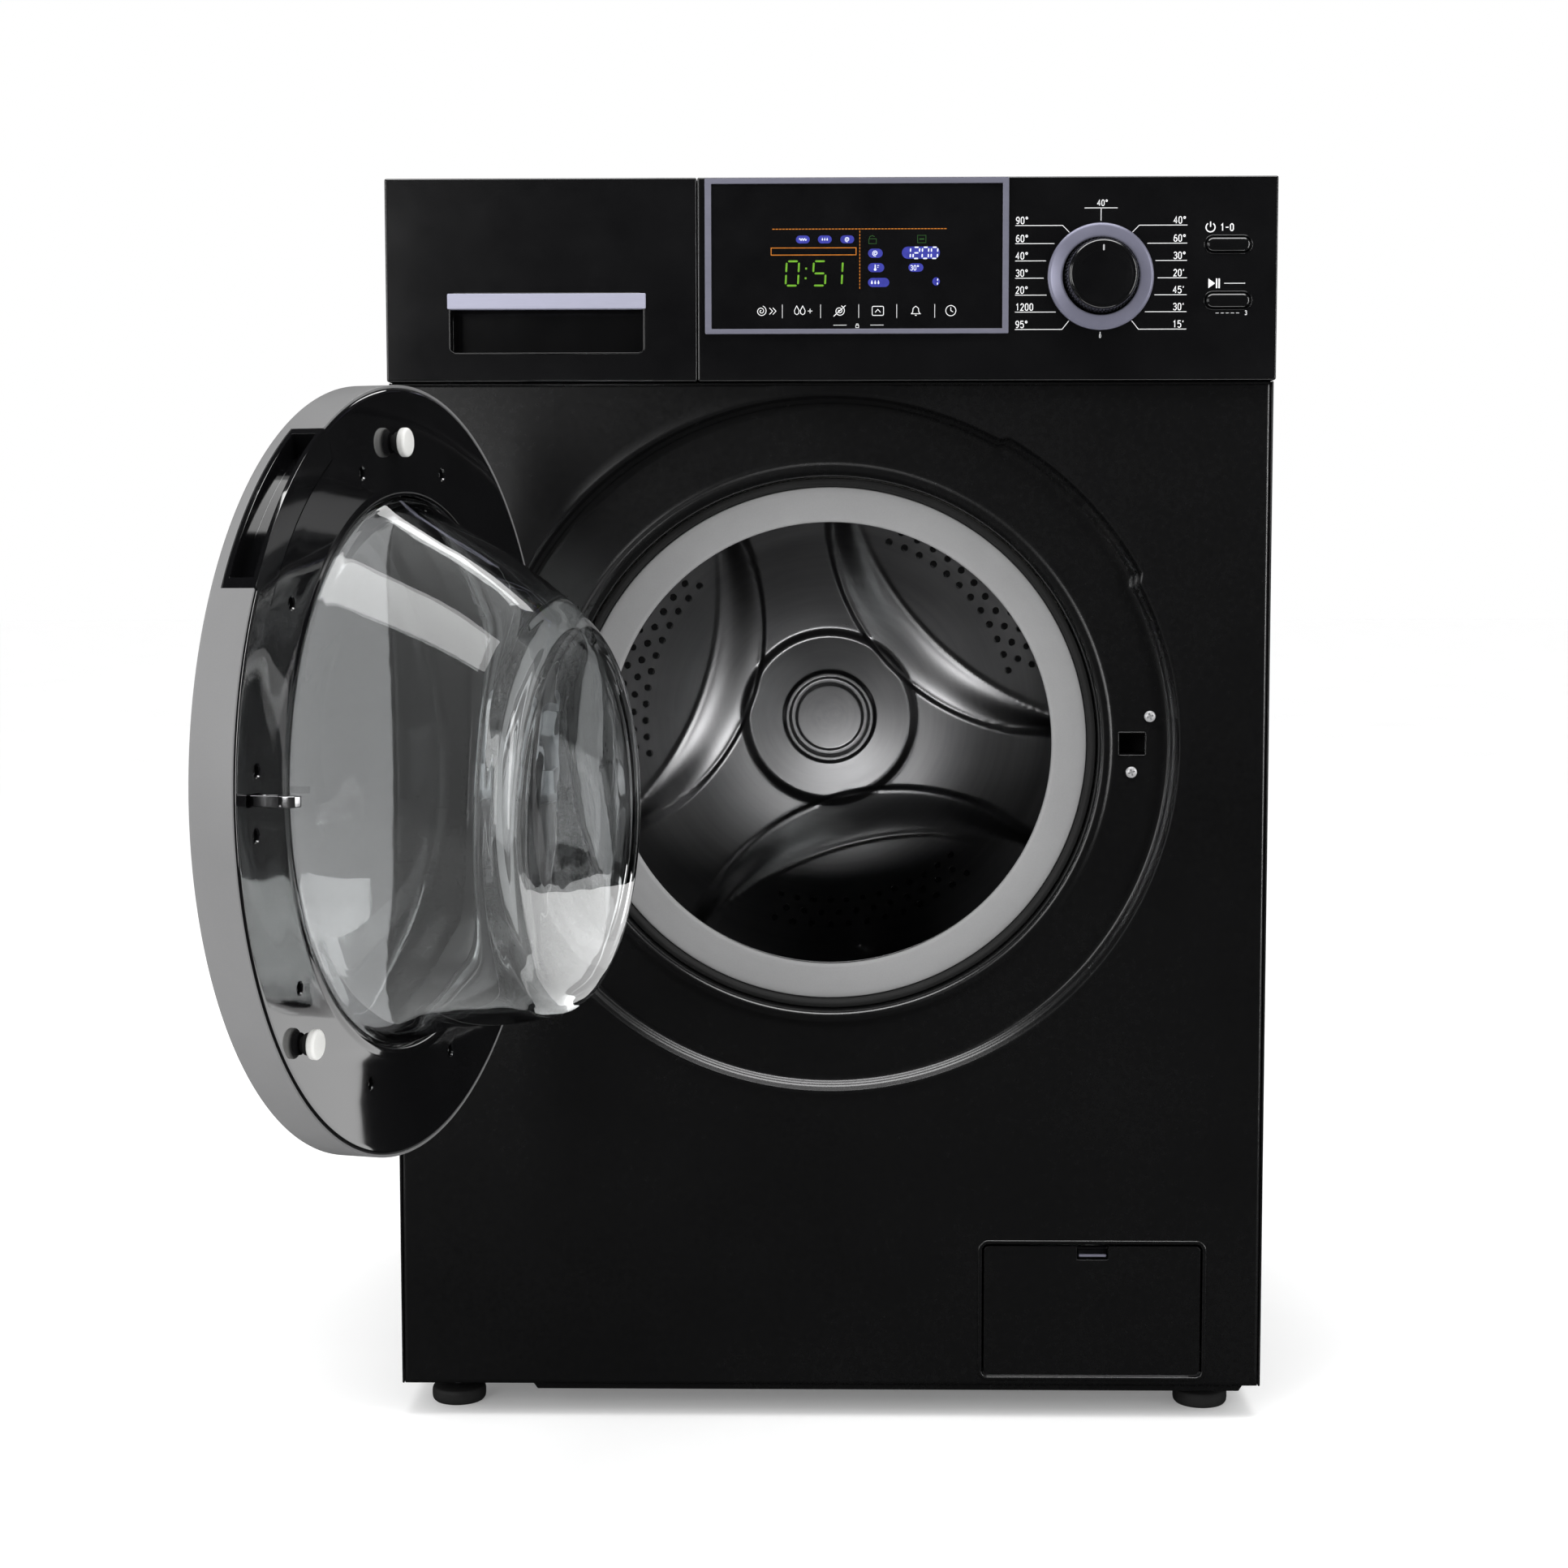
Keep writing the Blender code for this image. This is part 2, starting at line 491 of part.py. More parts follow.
for label, sign in (("left", -1.0), ("right", 1.0)):
    damper("damper_" + label, sign)
    tube("suspension_spring_" + label, ZINC, spring_points(sign * 0.2080, 0.6250, sign * 0.2480, 0.8150, 0.0300, 0.0100, 8, 6), 0.0016, sides=0)

# ============================================================ drum (turns)
turned(
    "drum_shell", STAINLESS,
    [(0.1590, -0.2035), (0.1600, -0.2050), (0.2300, -0.2050), (DRUM_R, -0.2000), (DRUM_R, 0.0990), (DRUM_R - 0.0012, 0.0990), (DRUM_R - 0.0012, -0.1995), (0.2295, -0.2038), (0.1600, -0.2038)],
    36, under=DRUM,
)
turned(
    "drum_back", STAINLESS,
    [
        (0, 0.0900), (0.0280, 0.0900), (0.0320, 0.0880), (0.0370, 0.0940), (0.0660, 0.0940), (0.0720, 0.0880), (0.1600, 0.0880), (0.2315, 0.0930),
        (0.2315, 0.0942), (0.1600, 0.0892), (0.0722, 0.0892), (0.0662, 0.0952), (0, 0.0952),
    ],
    32, under=DRUM,
)
for k, a in enumerate((40.0, 160.0, 280.0)):
    inner = DRUM_R - 0.0026
    outline = [(inner * cos(radians(t)), AXIS_Z + inner * sin(radians(t))) for t in (a - 8.0, a - 4.0, a, a + 4.0, a + 8.0)]
    crest = [(r * cos(radians(t)), AXIS_Z + r * sin(radians(t))) for r, t in ((0.2060, a + 4.4), (0.1980, a + 2.0), (0.1980, a - 2.0), (0.2060, a - 4.4))]
    finish("drum_lifter_%d" % (k + 1), prism_bm(outline + crest, "Y", -0.1850, 0.0860), STAINLESS, DRUM)

# spider: hub, three arms to the rim and the shaft out to the pulley
spider = finish("drum_spider", turned_bm([(0, 0.0980), (0.0330, 0.0980), (0.0400, 0.1040), (0.0400, 0.1120), (0.0150, 0.1190), (0.0150, 0.1860), (0, 0.1860)], 20), ZINC, DRUM)
for k, a in enumerate((100.0, 220.0, 340.0)):
    ca, sa = cos(radians(a)), sin(radians(a))
    outline = [(0.010, -0.017), (0.225, -0.009), (0.225, 0.009), (0.010, 0.017)]
    outline = [(u * ca - v * sa, AXIS_Z + u * sa + v * ca) for u, v in outline]
    combine(spider, prism_bm(outline, "Y", 0.1010, 0.1100), "UNION", DRUM, "arm_%d" % k)
turned("drum_bearing", ZINC, [(0.0156, 0.1300), (0.0264, 0.1300), (0.0264, 0.1440), (0.0156, 0.1440)], 20)
turned(
    "drum_pulley", ZINC,
    [
        (0.0155, 0.1660), (0.0280, 0.1690), (0.1180, 0.1715), (PULLEY_R + 0.002, BELT_Y0 - 0.0015), (PULLEY_R, BELT_Y0), (PULLEY_R, BELT_Y1),
        (PULLEY_R + 0.002, BELT_Y1 + 0.0015), (0.1180, 0.1765), (0.0280, 0.1790), (0.0155, 0.1820),
    ],
    28, under=DRUM,
)

# ============================================================ motor and belt
turned("drive_motor", ZINC, [(0, 0.0150), (0.0300, 0.0150), (0.0440, 0.0200), (0.0440, 0.1350), (0.0300, 0.1420), (0, 0.1420)], 20, MOTOR_X, MOTOR_Z)
turned("motor_pulley", ZINC, [(0, 0.1424), (0.0060, 0.1424), (0.0060, 0.1640), (MOTOR_PULLEY_R + 0.002, BELT_Y0 - 0.0020), (MOTOR_PULLEY_R, BELT_Y0 - 0.0002), (MOTOR_PULLEY_R, BELT_Y1 + 0.0002), (MOTOR_PULLEY_R + 0.002, BELT_Y1 + 0.0020), (0, 0.1840)], 18, MOTOR_X, MOTOR_Z, MOTOR)


def belt_outline(grow):
    """Open-belt outline round both pulleys, grown outwards by a distance."""
    r1, r2 = PULLEY_R + grow, MOTOR_PULLEY_R + grow
    dx, dz = MOTOR_X, MOTOR_Z - AXIS_Z
    reach, lead = hypot(dx, dz), degrees(atan2(dz, dx))
    wrap = degrees(asin((r1 - r2) / reach))
    return arc(0.0, AXIS_Z, r1, lead + 90 - wrap, lead + 270 + wrap, 26) + arc(MOTOR_X, MOTOR_Z, r2, lead - 90 + wrap, lead + 90 - wrap, 8)


outer, inner = belt_outline(0.0045), belt_outline(0.0015)
bm = bmesh.new()
skin(bm, [[(x, BELT_Y0 + 0.0008, z) for x, z in inner], [(x, BELT_Y0 + 0.0008, z) for x, z in outer], [(x, BELT_Y1 - 0.0008, z) for x, z in outer], [(x, BELT_Y1 - 0.0008, z) for x, z in inner]], True)
finish("drive_belt", bm, BLACK_RUBBER)

# ============================================================ drain pump and service hatch
CX, CZ = 0.5 * (HATCH_X0 + HATCH_X1), 0.0800
finish("drain_pump", turned_bm([(0, -0.1900), (0.0330, -0.1900), (0.0330, -0.2560), (0.0370, -0.2560), (0.0370, -0.1700), (0.0300, -0.1500), (0.0300, -0.1000), (0, -0.1000)], 20, CX, CZ), WHITE_PLASTIC)
cap = turned("filter_cap", GREY_PLASTIC, [(0, -0.2590), (0.0360, -0.2590), (0.0360, -0.2565), (0.0322, -0.2565), (0.0322, -0.2350), (0, -0.2350)], 20, CX, CZ, FILTER)
combine(cap, box_bm(CX - 0.0240, CX + 0.0240, -0.2720, -0.2580, CZ - 0.0030, CZ + 0.0030, 0.0010), "UNION", FILTER, "grip_bar")

hatch = finish("service_hatch", prism_bm(rounded(HATCH_X0 + 0.0016, HATCH_X1 - 0.0016, HATCH_Z0 + 0.0020, HATCH_Z1 - 0.0016, 0.0030, 2), "Y", FRONT_Y + 0.0004, FRONT_Y + 0.0030), BLACK_PLASTIC, HATCH)
combine(hatch, box_bm(0.1706, 0.1926, FRONT_Y - 0.01, FRONT_Y + 0.01, 0.1120, 0.1300), "DIFFERENCE", HATCH, "pull_notch")

# ============================================================ feet, rear fittings
for end, fy in (("front", FOOT_Y0), ("rear", FOOT_Y1)):
    for label, fx in (("left", FOOT_X0), ("right", FOOT_X1)):
        under = pivot("foot_axis_%s_%s" % (end, label), (fx, fy, 0.0))
        finish("foot_%s_%s" % (end, label), upright_bm([(0, 0.0), (FOOT_R - 0.0025, 0.0), (FOOT_R, 0.0025), (FOOT_R, 0.0080), (FOOT_R - 0.0030, 0.0110), (0.0095, 0.0125), (0.0050, 0.0185), (0.0050, 0.0420), (0, 0.0420)], 14, fx, fy), BLACK_RUBBER, under)

finish("power_inlet", turned_bm([(0, 0.2470), (0.0140, 0.2470), (0.0140, REAR_Y - GAP), (0.0100, REAR_Y - GAP), (0.0100, 0.2810), (0.0060, 0.2810), (0.0060, 0.2600), (0, 0.2600)], 14, 0.2300, 0.7000), BLACK_PLASTIC)
combine(rear_panel, turned_bm([(0, 0.25), (0.0106, 0.25), (0.0106, 0.29), (0, 0.29)], 14, 0.2300, 0.7000), "DIFFERENCE", label="inlet_hole")
finish("drain_outlet", turned_bm([(0, 0.2380), (0.0170, 0.2380), (0.0170, REAR_Y - GAP), (0.0120, REAR_Y - GAP), (0.0120, 0.2860), (0.0085, 0.2860), (0.0085, 0.2480), (0, 0.2480)], 14, 0.2300, 0.6000), GREY_PLASTIC)
combine(rear_panel, turned_bm([(0, 0.25), (0.0126, 0.25), (0.0126, 0.29), (0, 0.29)], 14, 0.2300, 0.6000), "DIFFERENCE", label="drain_hole")

# ============================================================ door
rim = finish(
    "door_outer_rim",
    turned_bm([(0.1950, DOOR_RIM_Y), (DOOR_R - 0.0030, DOOR_RIM_Y), (DOOR_R, DOOR_RIM_Y + 0.0030), (DOOR_R, DOOR_IN_Y - 0.0035 - GAP), (0.2250, DOOR_IN_Y - 0.0035 - GAP), (0.2250, DOOR_RIM_Y + 0.0040), (0.1950, DOOR_RIM_Y + 0.0040)], 52),
    SILVER_GREY, DOOR,
)
combine(rim, box_bm(-0.24, -0.1840, DOOR_RIM_Y + 0.0070, -0.27, AXIS_Z - 0.0360, AXIS_Z + 0.0360), "DIFFERENCE", DOOR, "hinge_notch")
combine(rim, sector_bm(0.2000, 0.2400, DOOR_RIM_Y + 0.0070, -0.27, 28.5, 60.5, 8), "DIFFERENCE", DOOR, "grip_notch")

inner_frame = finish(
    "door_inner_frame",
    turned_bm([(0.1640, DOOR_IN_Y), (DOOR_R - 0.0008, DOOR_IN_Y), (DOOR_R, DOOR_IN_Y - 0.0008), (DOOR_R, DOOR_IN_Y - 0.0035), (0.1640, DOOR_IN_Y - 0.0035)], 52),
    BLACK_PLASTIC, DOOR,
)
combine(inner_frame, box_bm(-0.24, -0.1840, -0.30, -0.27, AXIS_Z - 0.0360, AXIS_Z + 0.0360), "DIFFERENCE", DOOR, "hinge_notch")
combine(inner_frame, sector_bm(0.2080, 0.2400, -0.30, -0.27, 28.5, 60.5, 8), "DIFFERENCE", DOOR, "grip_notch")
combine(inner_frame, box_bm(LATCH_X - 0.0080, LATCH_X + 0.0080, -0.30, -0.27, LATCH_Z - 0.0035, LATCH_Z + 0.0035), "DIFFERENCE", DOOR, "latch_opening")
BUMPERS = (("upper", 0.0200, 0.1944), ("lower", 0.1516, -0.1375))
for label, x, z in BUMPERS:
    combine(inner_frame, turned_bm([(0, -0.30), (0.0050, -0.30), (0.0050, -0.27), (0, -0.27)], 14, x, AXIS_Z + z), "DIFFERENCE", DOOR, "bumper_hole_" + label)
    turned("door_bumper_" + label, WHITE_PLASTIC, [(0, -0.2905), (0.0046, -0.2905), (0.0046, DOOR_IN_Y + 0.0042), (0.0085, DOOR_IN_Y + 0.0044), (0.0085, DOOR_IN_Y + 0.0084), (0.0075, DOOR_IN_Y + 0.0094), (0, DOOR_IN_Y + 0.0094)], 16, x, AXIS_Z + z, DOOR)

grip = finish("door_grip", sector_bm(0.2090, DOOR_R, DOOR_RIM_Y + 0.0078, DOOR_IN_Y, 29.2, 59.8, 9), BLACK_PLASTIC, DOOR)
combine(grip, sector_bm(0.2160, 0.2400, DOOR_RIM_Y + 0.0110, DOOR_IN_Y - 0.0030, 30.8, 58.2, 8), "DIFFERENCE", DOOR, "finger_channel")

turned("door_window", BLACK_PLASTIC, [(0, DOOR_CROWN_Y), (0.0700, DOOR_CROWN_Y + 0.0006), (0.1400, DOOR_CROWN_Y + 0.0022), (0.1944, DOOR_RIM_Y), (0.1944, DOOR_RIM_Y + 0.0040), (0.1400, DOOR_RIM_Y + 0.0020), (0, DOOR_RIM_Y + 0.0010)], 40, under=DOOR)

# glass bowl: a flange behind the inner frame, then a nose that drops as it goes in
BOWL = [  # depth past the door's inner face, radius, drop of the centre
    (-0.0040, 0.1625, 0.0000), (0.0080, 0.1575, 0.0010), (0.0280, 0.1480, 0.0030), (0.0500, 0.1405, 0.0080), (0.0720, 0.1325, 0.0140), (0.0930, 0.1200, 0.0200), (0.1040, 0.1090, 0.0235), (0.1090, 0.0950, 0.0250),
]
WALL = 0.0040


def bowl_loop(depth, radius, drop, count=36):
    return [(radius * cos(a), DOOR_IN_Y + depth, AXIS_Z - drop + radius * sin(a)) for a in even_angles(count)]


loops = [[(0.0, DOOR_IN_Y + 0.1115, AXIS_Z - 0.0250)]]
loops += [bowl_loop(*row) for row in reversed(BOWL)]
loops += [bowl_loop(-0.0040, 0.1760, 0.0), bowl_loop(-0.0080, 0.1760, 0.0), bowl_loop(-0.0080, 0.1580, 0.0)]
loops += [bowl_loop(d - (WALL if d > 0.05 else 0.0020), r - WALL, c) for d, r, c in BOWL[2::2]]
loops += [[(0.0, DOOR_IN_Y + 0.1070, AXIS_Z - 0.0250)]]
bm = bmesh.new()
skin(bm, loops, False)
finish("door_glass_bowl", bm, CLEAR, DOOR)

# latch hook on its own small pivot
hy = DOOR_IN_Y
hook = [
    (LATCH_X - 0.0040, hy - 0.0160), (LATCH_X + 0.0040, hy - 0.0160), (LATCH_X + 0.0040, hy + 0.0180), (LATCH_X + 0.0062, hy + 0.0190),
    (LATCH_X + 0.0050, hy + 0.0250), (LATCH_X + 0.0010, hy + 0.0275), (LATCH_X - 0.0030, hy + 0.0255), (LATCH_X - 0.0040, hy + 0.0180),
]
finish("latch_hook", prism_bm(hook, "Z", LATCH_Z - 0.0025, LATCH_Z + 0.0025), CHROME, LATCH)

# hinge: a goose-neck bracket on the recess floor, a pin, and the leaf inside the door
KNUCKLE_R, PIN_R = 0.0062, 0.0030
FLOOR_V = DISH_FLOOR_Y + 0.0035 - HINGE_Y - 0.0006


def hinge_point(u, v):
    return (HINGE_X + u, HINGE_Y + v)


def hinge_prism(corners, z0, z1):
    return prism_bm([hinge_point(u, v) for u, v in corners], "Z", AXIS_Z + z0, AXIS_Z + z1)


def hinge_round(radius, z0, z1, steps):
    return prism_bm(arc(HINGE_X, HINGE_Y, radius, 0, 360 - 360 / steps, steps - 1), "Z", AXIS_Z + z0, AXIS_Z + z1)


bracket = finish("hinge_bracket", hinge_prism(((-0.0160, FLOOR_V - 0.0030), (0.0155, FLOOR_V - 0.0030), (0.0155, FLOOR_V), (-0.0160, FLOOR_V)), -0.0450, 0.0450), ZINC)
for label, z0, z1 in (("upper", 0.0125, 0.0300), ("lower", -0.0300, -0.0125)):
    arm = ((0.0, -0.0030), (0.0150, -0.0030), (0.0150, FLOOR_V - 0.0010), (0.0118, FLOOR_V - 0.0010), (0.0118, 0.0030), (0.0, 0.0030))
    combine(bracket, hinge_prism(arm, z0, z1), "UNION", label="arm_" + label)
    combine(bracket, hinge_round(KNUCKLE_R, z0 - 0.00005, z1 + 0.00005, 16), "UNION", label="knuckle_" + label)
combine(bracket, hinge_round(PIN_R + 0.0003, -0.05, 0.05, 12), "DIFFERENCE", label="pin_bore")
finish("hinge_pin", upright_bm([(0, AXIS_Z - 0.0320), (PIN_R, AXIS_Z - 0.0320), (PIN_R, AXIS_Z + 0.0305), (0.0045, AXIS_Z + 0.0305), (0.0045, AXIS_Z + 0.0330), (0, AXIS_Z + 0.0330)], 12, HINGE_X, HINGE_Y), ZINC)
leaf = finish("hinge_leaf", hinge_prism(((0.0080, -0.0062), (0.0420, -0.0062), (0.0420, -0.0036), (0.0080, -0.0036)), -0.0300, 0.0300), ZINC, DOOR)
combine(leaf, hinge_prism(((-0.0010, -0.0061), (0.0100, -0.0061), (0.0100, -0.0037), (-0.0010, -0.0037)), -0.0110, 0.0110), "UNION", DOOR, "tongue")
combine(leaf, hinge_round(KNUCKLE_R, -0.0120, 0.0120, 16), "UNION", DOOR, "knuckle")
combine(leaf, hinge_round(PIN_R + 0.0003, -0.05, 0.05, 12), "DIFFERENCE", DOOR, "pin_bore")
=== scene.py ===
import json
from math import asin, atan2, cos, degrees, exp, hypot, pi, radians, sin, sqrt, tan

import bmesh
import bpy
from mathutils import Matrix, Vector, noise

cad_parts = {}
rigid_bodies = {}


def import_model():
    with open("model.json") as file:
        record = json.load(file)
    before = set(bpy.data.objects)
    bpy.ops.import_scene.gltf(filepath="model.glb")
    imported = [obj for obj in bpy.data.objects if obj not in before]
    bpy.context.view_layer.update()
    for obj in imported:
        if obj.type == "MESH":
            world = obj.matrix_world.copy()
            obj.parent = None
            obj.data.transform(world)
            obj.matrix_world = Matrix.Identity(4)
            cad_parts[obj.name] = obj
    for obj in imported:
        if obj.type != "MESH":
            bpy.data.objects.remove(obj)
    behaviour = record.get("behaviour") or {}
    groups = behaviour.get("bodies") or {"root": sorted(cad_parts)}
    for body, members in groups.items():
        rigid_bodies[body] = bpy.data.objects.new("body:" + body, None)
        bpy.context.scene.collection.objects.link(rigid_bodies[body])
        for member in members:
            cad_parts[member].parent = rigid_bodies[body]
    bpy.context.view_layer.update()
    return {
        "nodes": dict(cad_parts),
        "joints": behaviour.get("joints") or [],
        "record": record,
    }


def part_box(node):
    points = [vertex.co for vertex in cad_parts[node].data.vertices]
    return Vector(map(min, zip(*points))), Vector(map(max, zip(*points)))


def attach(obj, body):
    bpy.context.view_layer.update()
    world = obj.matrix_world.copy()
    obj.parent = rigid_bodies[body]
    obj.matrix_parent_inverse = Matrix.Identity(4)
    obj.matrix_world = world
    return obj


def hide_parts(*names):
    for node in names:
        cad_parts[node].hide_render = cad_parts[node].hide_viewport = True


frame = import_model()
NODES = frame["nodes"]
JOINTS = {j["name"]: j for j in frame["joints"]}

# ------------------------------------------------------------------ the shared frame
# Shapes are written in the cabinet's own frame, with the door shut, and moved to where the CAD nodes are.
top_lo, top_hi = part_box("top_cover")
con_lo, con_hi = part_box("console_fascia")
drum_lo, drum_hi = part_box("drum_shell")
SX = 0.5 * (top_lo.x + top_hi.x)
HALF_W = 0.5 * (top_hi.x - top_lo.x)
CONSOLE_Y = -0.2860
SY = con_lo.y - CONSOLE_Y
AXIS_Z = 0.5 * (drum_lo.z + drum_hi.z)
HEIGHT = top_hi.z
FRONT_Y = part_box("front_panel")[0].y - SY
SEAM_Z = con_lo.z
SKIRT_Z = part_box("front_panel")[0].z
DOOR_OPEN = radians(104.4)
HINGE = Vector((*JOINTS["door_hinge"]["pos_m"][:2], 0.0))
HINGE_LOCAL = HINGE - Vector((SX, SY, 0.0))
CAB_M = Matrix.Translation((SX, SY, 0.0))
DOOR_M = Matrix.Translation(HINGE) @ Matrix.Rotation(-DOOR_OPEN, 4, "Z") @ Matrix.Translation(-HINGE_LOCAL)
PLACE = {"door": DOOR_M, "latch": DOOR_M}

DISH_R, DISH_FLOOR_R, DISH_FLOOR_Y, PORT_R = 0.2376, 0.2315, -0.2720, 0.1835
DISH_BUMP = 0.0042
DOOR_R, DOOR_IN_Y, DOOR_RIM_Y, DOOR_CROWN_Y = 0.2285, -0.2830, -0.3100, -0.3150
LATCH_X, LATCH_Z = 0.2062, 0.4680
KNOB_X, KNOB_Z = 0.1806, 0.7828
BUTTON_X, POWER_Z, START_Z = 0.2656, 0.8038, 0.7668


# ------------------------------------------------------------------ materials
def nodes_of(name):
    mat = bpy.data.materials.new(name)
    mat.use_nodes = True
    tree = mat.node_tree
    bsdf = tree.nodes["Principled BSDF"]
    return mat, tree, bsdf


def add(tree, kind, **settings):
    node = tree.nodes.new(kind)
    for key, value in settings.items():
        if key in node.inputs:
            node.inputs[key].default_value = value
        else:
            setattr(node, key, value)
    return node


def coords(tree, scale=(1.0, 1.0, 1.0)):
    tc = add(tree, "ShaderNodeTexCoord")
    mp = add(tree, "ShaderNodeMapping")
    mp.inputs["Scale"].default_value = scale
    tree.links.new(tc.outputs["Object"], mp.inputs["Vector"])
    return mp.outputs["Vector"]


def polar(tree, cx, cz, kr, ka, ky):
    """Coordinates (radius, angle, y) about a line along Y, each times its own factor."""
    tc = add(tree, "ShaderNodeTexCoord")
    sep = add(tree, "ShaderNodeSeparateXYZ")
    tree.links.new(tc.outputs["Object"], sep.inputs[0])

    def op(kind, a, b=None):
        n = add(tree, "ShaderNodeMath", operation=kind)
        for k, v in enumerate((a, b)):
            if v is None:
                continue
            if isinstance(v, (int, float)):
                n.inputs[k].default_value = v
            else:
                tree.links.new(v, n.inputs[k])
        return n.outputs[0]

    dx, dz = op("SUBTRACT", sep.outputs[0], cx), op("SUBTRACT", sep.outputs[2], cz)
    rr = op("SQRT", op("ADD", op("MULTIPLY", dx, dx), op("MULTIPLY", dz, dz)))
    aa = op("ARCTAN2", dz, dx)
    comb = add(tree, "ShaderNodeCombineXYZ")
    tree.links.new(op("MULTIPLY", rr, kr), comb.inputs[0])
    tree.links.new(op("MULTIPLY", aa, ka), comb.inputs[1])
    tree.links.new(op("MULTIPLY", sep.outputs[1], ky), comb.inputs[2])
    return comb.outputs[0]


def noise_of(tree, vector, scale, detail=3.0, rough=0.5):
    n = add(tree, "ShaderNodeTexNoise")
    n.inputs["Scale"].default_value = scale
    n.inputs["Detail"].default_value = detail
    n.inputs["Roughness"].default_value = rough
    tree.links.new(vector, n.inputs["Vector"])
    return n.outputs["Fac"]


def ranged(tree, value, low, high, lo=0.3, hi=0.7):
    m = add(tree, "ShaderNodeMapRange")
    m.inputs["From Min"].default_value = lo
    m.inputs["From Max"].default_value = hi
    m.inputs["To Min"].default_value = low
    m.inputs["To Max"].default_value = high
    tree.links.new(value, m.inputs["Value"])
    return m.outputs["Result"]


def tinted(tree, value, dark, light, lo=0.3, hi=0.7):
    ramp = add(tree, "ShaderNodeValToRGB")
    ramp.color_ramp.elements[0].position = lo
    ramp.color_ramp.elements[1].position = hi
    ramp.color_ramp.elements[0].color = (*dark, 1.0)
    ramp.color_ramp.elements[1].color = (*light, 1.0)
    tree.links.new(value, ramp.inputs["Fac"])
    return ramp.outputs["Color"]


def bumped(tree, bsdf, layers):
    """layers: (height output, strength, distance), chained."""
    last = None
    for height, strength, distance in layers:
        b = add(tree, "ShaderNodeBump")
        b.inputs["Strength"].default_value = strength
        b.inputs["Distance"].default_value = distance
        tree.links.new(height, b.inputs["Height"])
        if last is not None:
            tree.links.new(last, b.inputs["Normal"])
        last = b.outputs["Normal"]
    tree.links.new(last, bsdf.inputs["Normal"])


def surface(name, dark, light, rough, metal=0.0, grain=400.0, peel=None, wave=None, cloud=14.0, specular=0.5, coat=0.0, coat_rough=0.1, stretch=(1, 1, 1), fine=0.0, fine_scale=3000.0):
    """A solid finish: two close tints in a soft cloud, roughness that varies, and fine relief."""
    mat, tree, bsdf = nodes_of(name)
    v = coords(tree, stretch)
    cloudy = noise_of(tree, v, cloud, 5.0, 0.6)
    grainy = noise_of(tree, v, grain, 4.0, 0.6)
    mix = add(tree, "ShaderNodeMath", operation="MULTIPLY_ADD")
    tree.links.new(grainy, mix.inputs[0])
    mix.inputs[1].default_value = 0.4
    scaled = add(tree, "ShaderNodeMath", operation="MULTIPLY")
    tree.links.new(cloudy, scaled.inputs[0])
    scaled.inputs[1].default_value = 0.6
    tree.links.new(scaled.outputs[0], mix.inputs[2])
    tree.links.new(tinted(tree, mix.outputs[0], dark, light), bsdf.inputs["Base Color"])
    tree.links.new(ranged(tree, mix.outputs[0], rough[0], rough[1]), bsdf.inputs["Roughness"])
    bsdf.inputs["Metallic"].default_value = metal
    bsdf.inputs["Specular IOR Level"].default_value = specular
    bsdf.inputs["Coat Weight"].default_value = coat
    bsdf.inputs["Coat Roughness"].default_value = coat_rough
    layers = []
    if wave:
        layers.append((noise_of(tree, v, wave[0], 2.0, 0.4), wave[1], wave[2]))
    if peel:
        layers.append((noise_of(tree, v, peel[0], 2.0, 0.5), peel[1], peel[2]))
    if fine:
        layers.append((noise_of(tree, v, fine_scale, 2.0, 0.5), fine, 0.00002))
    if layers:
        bumped(tree, bsdf, layers)
    return mat


M = {}
M["enamel"] = surface("black_enamel", (0.0014, 0.0014, 0.0015), (0.0030, 0.0030, 0.0032), (0.22, 0.30), grain=260, cloud=4, peel=(620.0, 0.07, 0.00018), wave=(5.0, 0.02, 0.003), specular=0.5)
M["side_enamel"] = surface("black_enamel_sides", (0.0030, 0.0030, 0.0032), (0.0060, 0.0060, 0.0064), (0.25, 0.34), grain=260, cloud=4, peel=(620.0, 0.10, 0.00018), wave=(3.0, 0.04, 0.004), specular=0.5)
M["gloss"] = surface("gloss_black_moulding", (0.0016, 0.0016, 0.0018), (0.0034, 0.0034, 0.0037), (0.10, 0.17), grain=900, cloud=30, wave=(9.0, 0.05, 0.002), fine=0.05, specular=0.5)
M["console"] = surface("satin_black_console", (0.0018, 0.0018, 0.0020), (0.0038, 0.0038, 0.0041), (0.12, 0.18), grain=1400, cloud=20, wave=(7.0, 0.05, 0.002), fine=0.10, specular=0.45)
M["piano"] = surface("piano_black_door_trim", (0.0015, 0.0015, 0.0017), (0.0032, 0.0032, 0.0035), (0.035, 0.075), grain=700, cloud=24, wave=(16.0, 0.10, 0.0018), specular=0.6, coat=0.4, coat_rough=0.03)
M["lavender"] = surface("lavender_grey_trim", (0.165, 0.165, 0.215), (0.210, 0.210, 0.27), (0.30, 0.40), metal=0.35, grain=2200, cloud=40, stretch=(0.05, 1, 1), fine=0.12)
M["ring_grey"] = surface("lavender_ring", (0.20, 0.20, 0.27), (0.25, 0.25, 0.33), (0.28, 0.38), metal=0.45, grain=2400, cloud=50, fine=0.10)
M["bar"] = surface("lavender_pull_bar", (0.330, 0.332, 0.425), (0.395, 0.397, 0.50), (0.30, 0.40), metal=0.15, grain=2200, cloud=40, stretch=(0.05, 1, 1), fine=0.10)
M["silver"] = surface("light_grey_rim", (0.175, 0.175, 0.177), (0.200, 0.200, 0.202), (0.44, 0.52), grain=1600, cloud=12, fine=0.10)
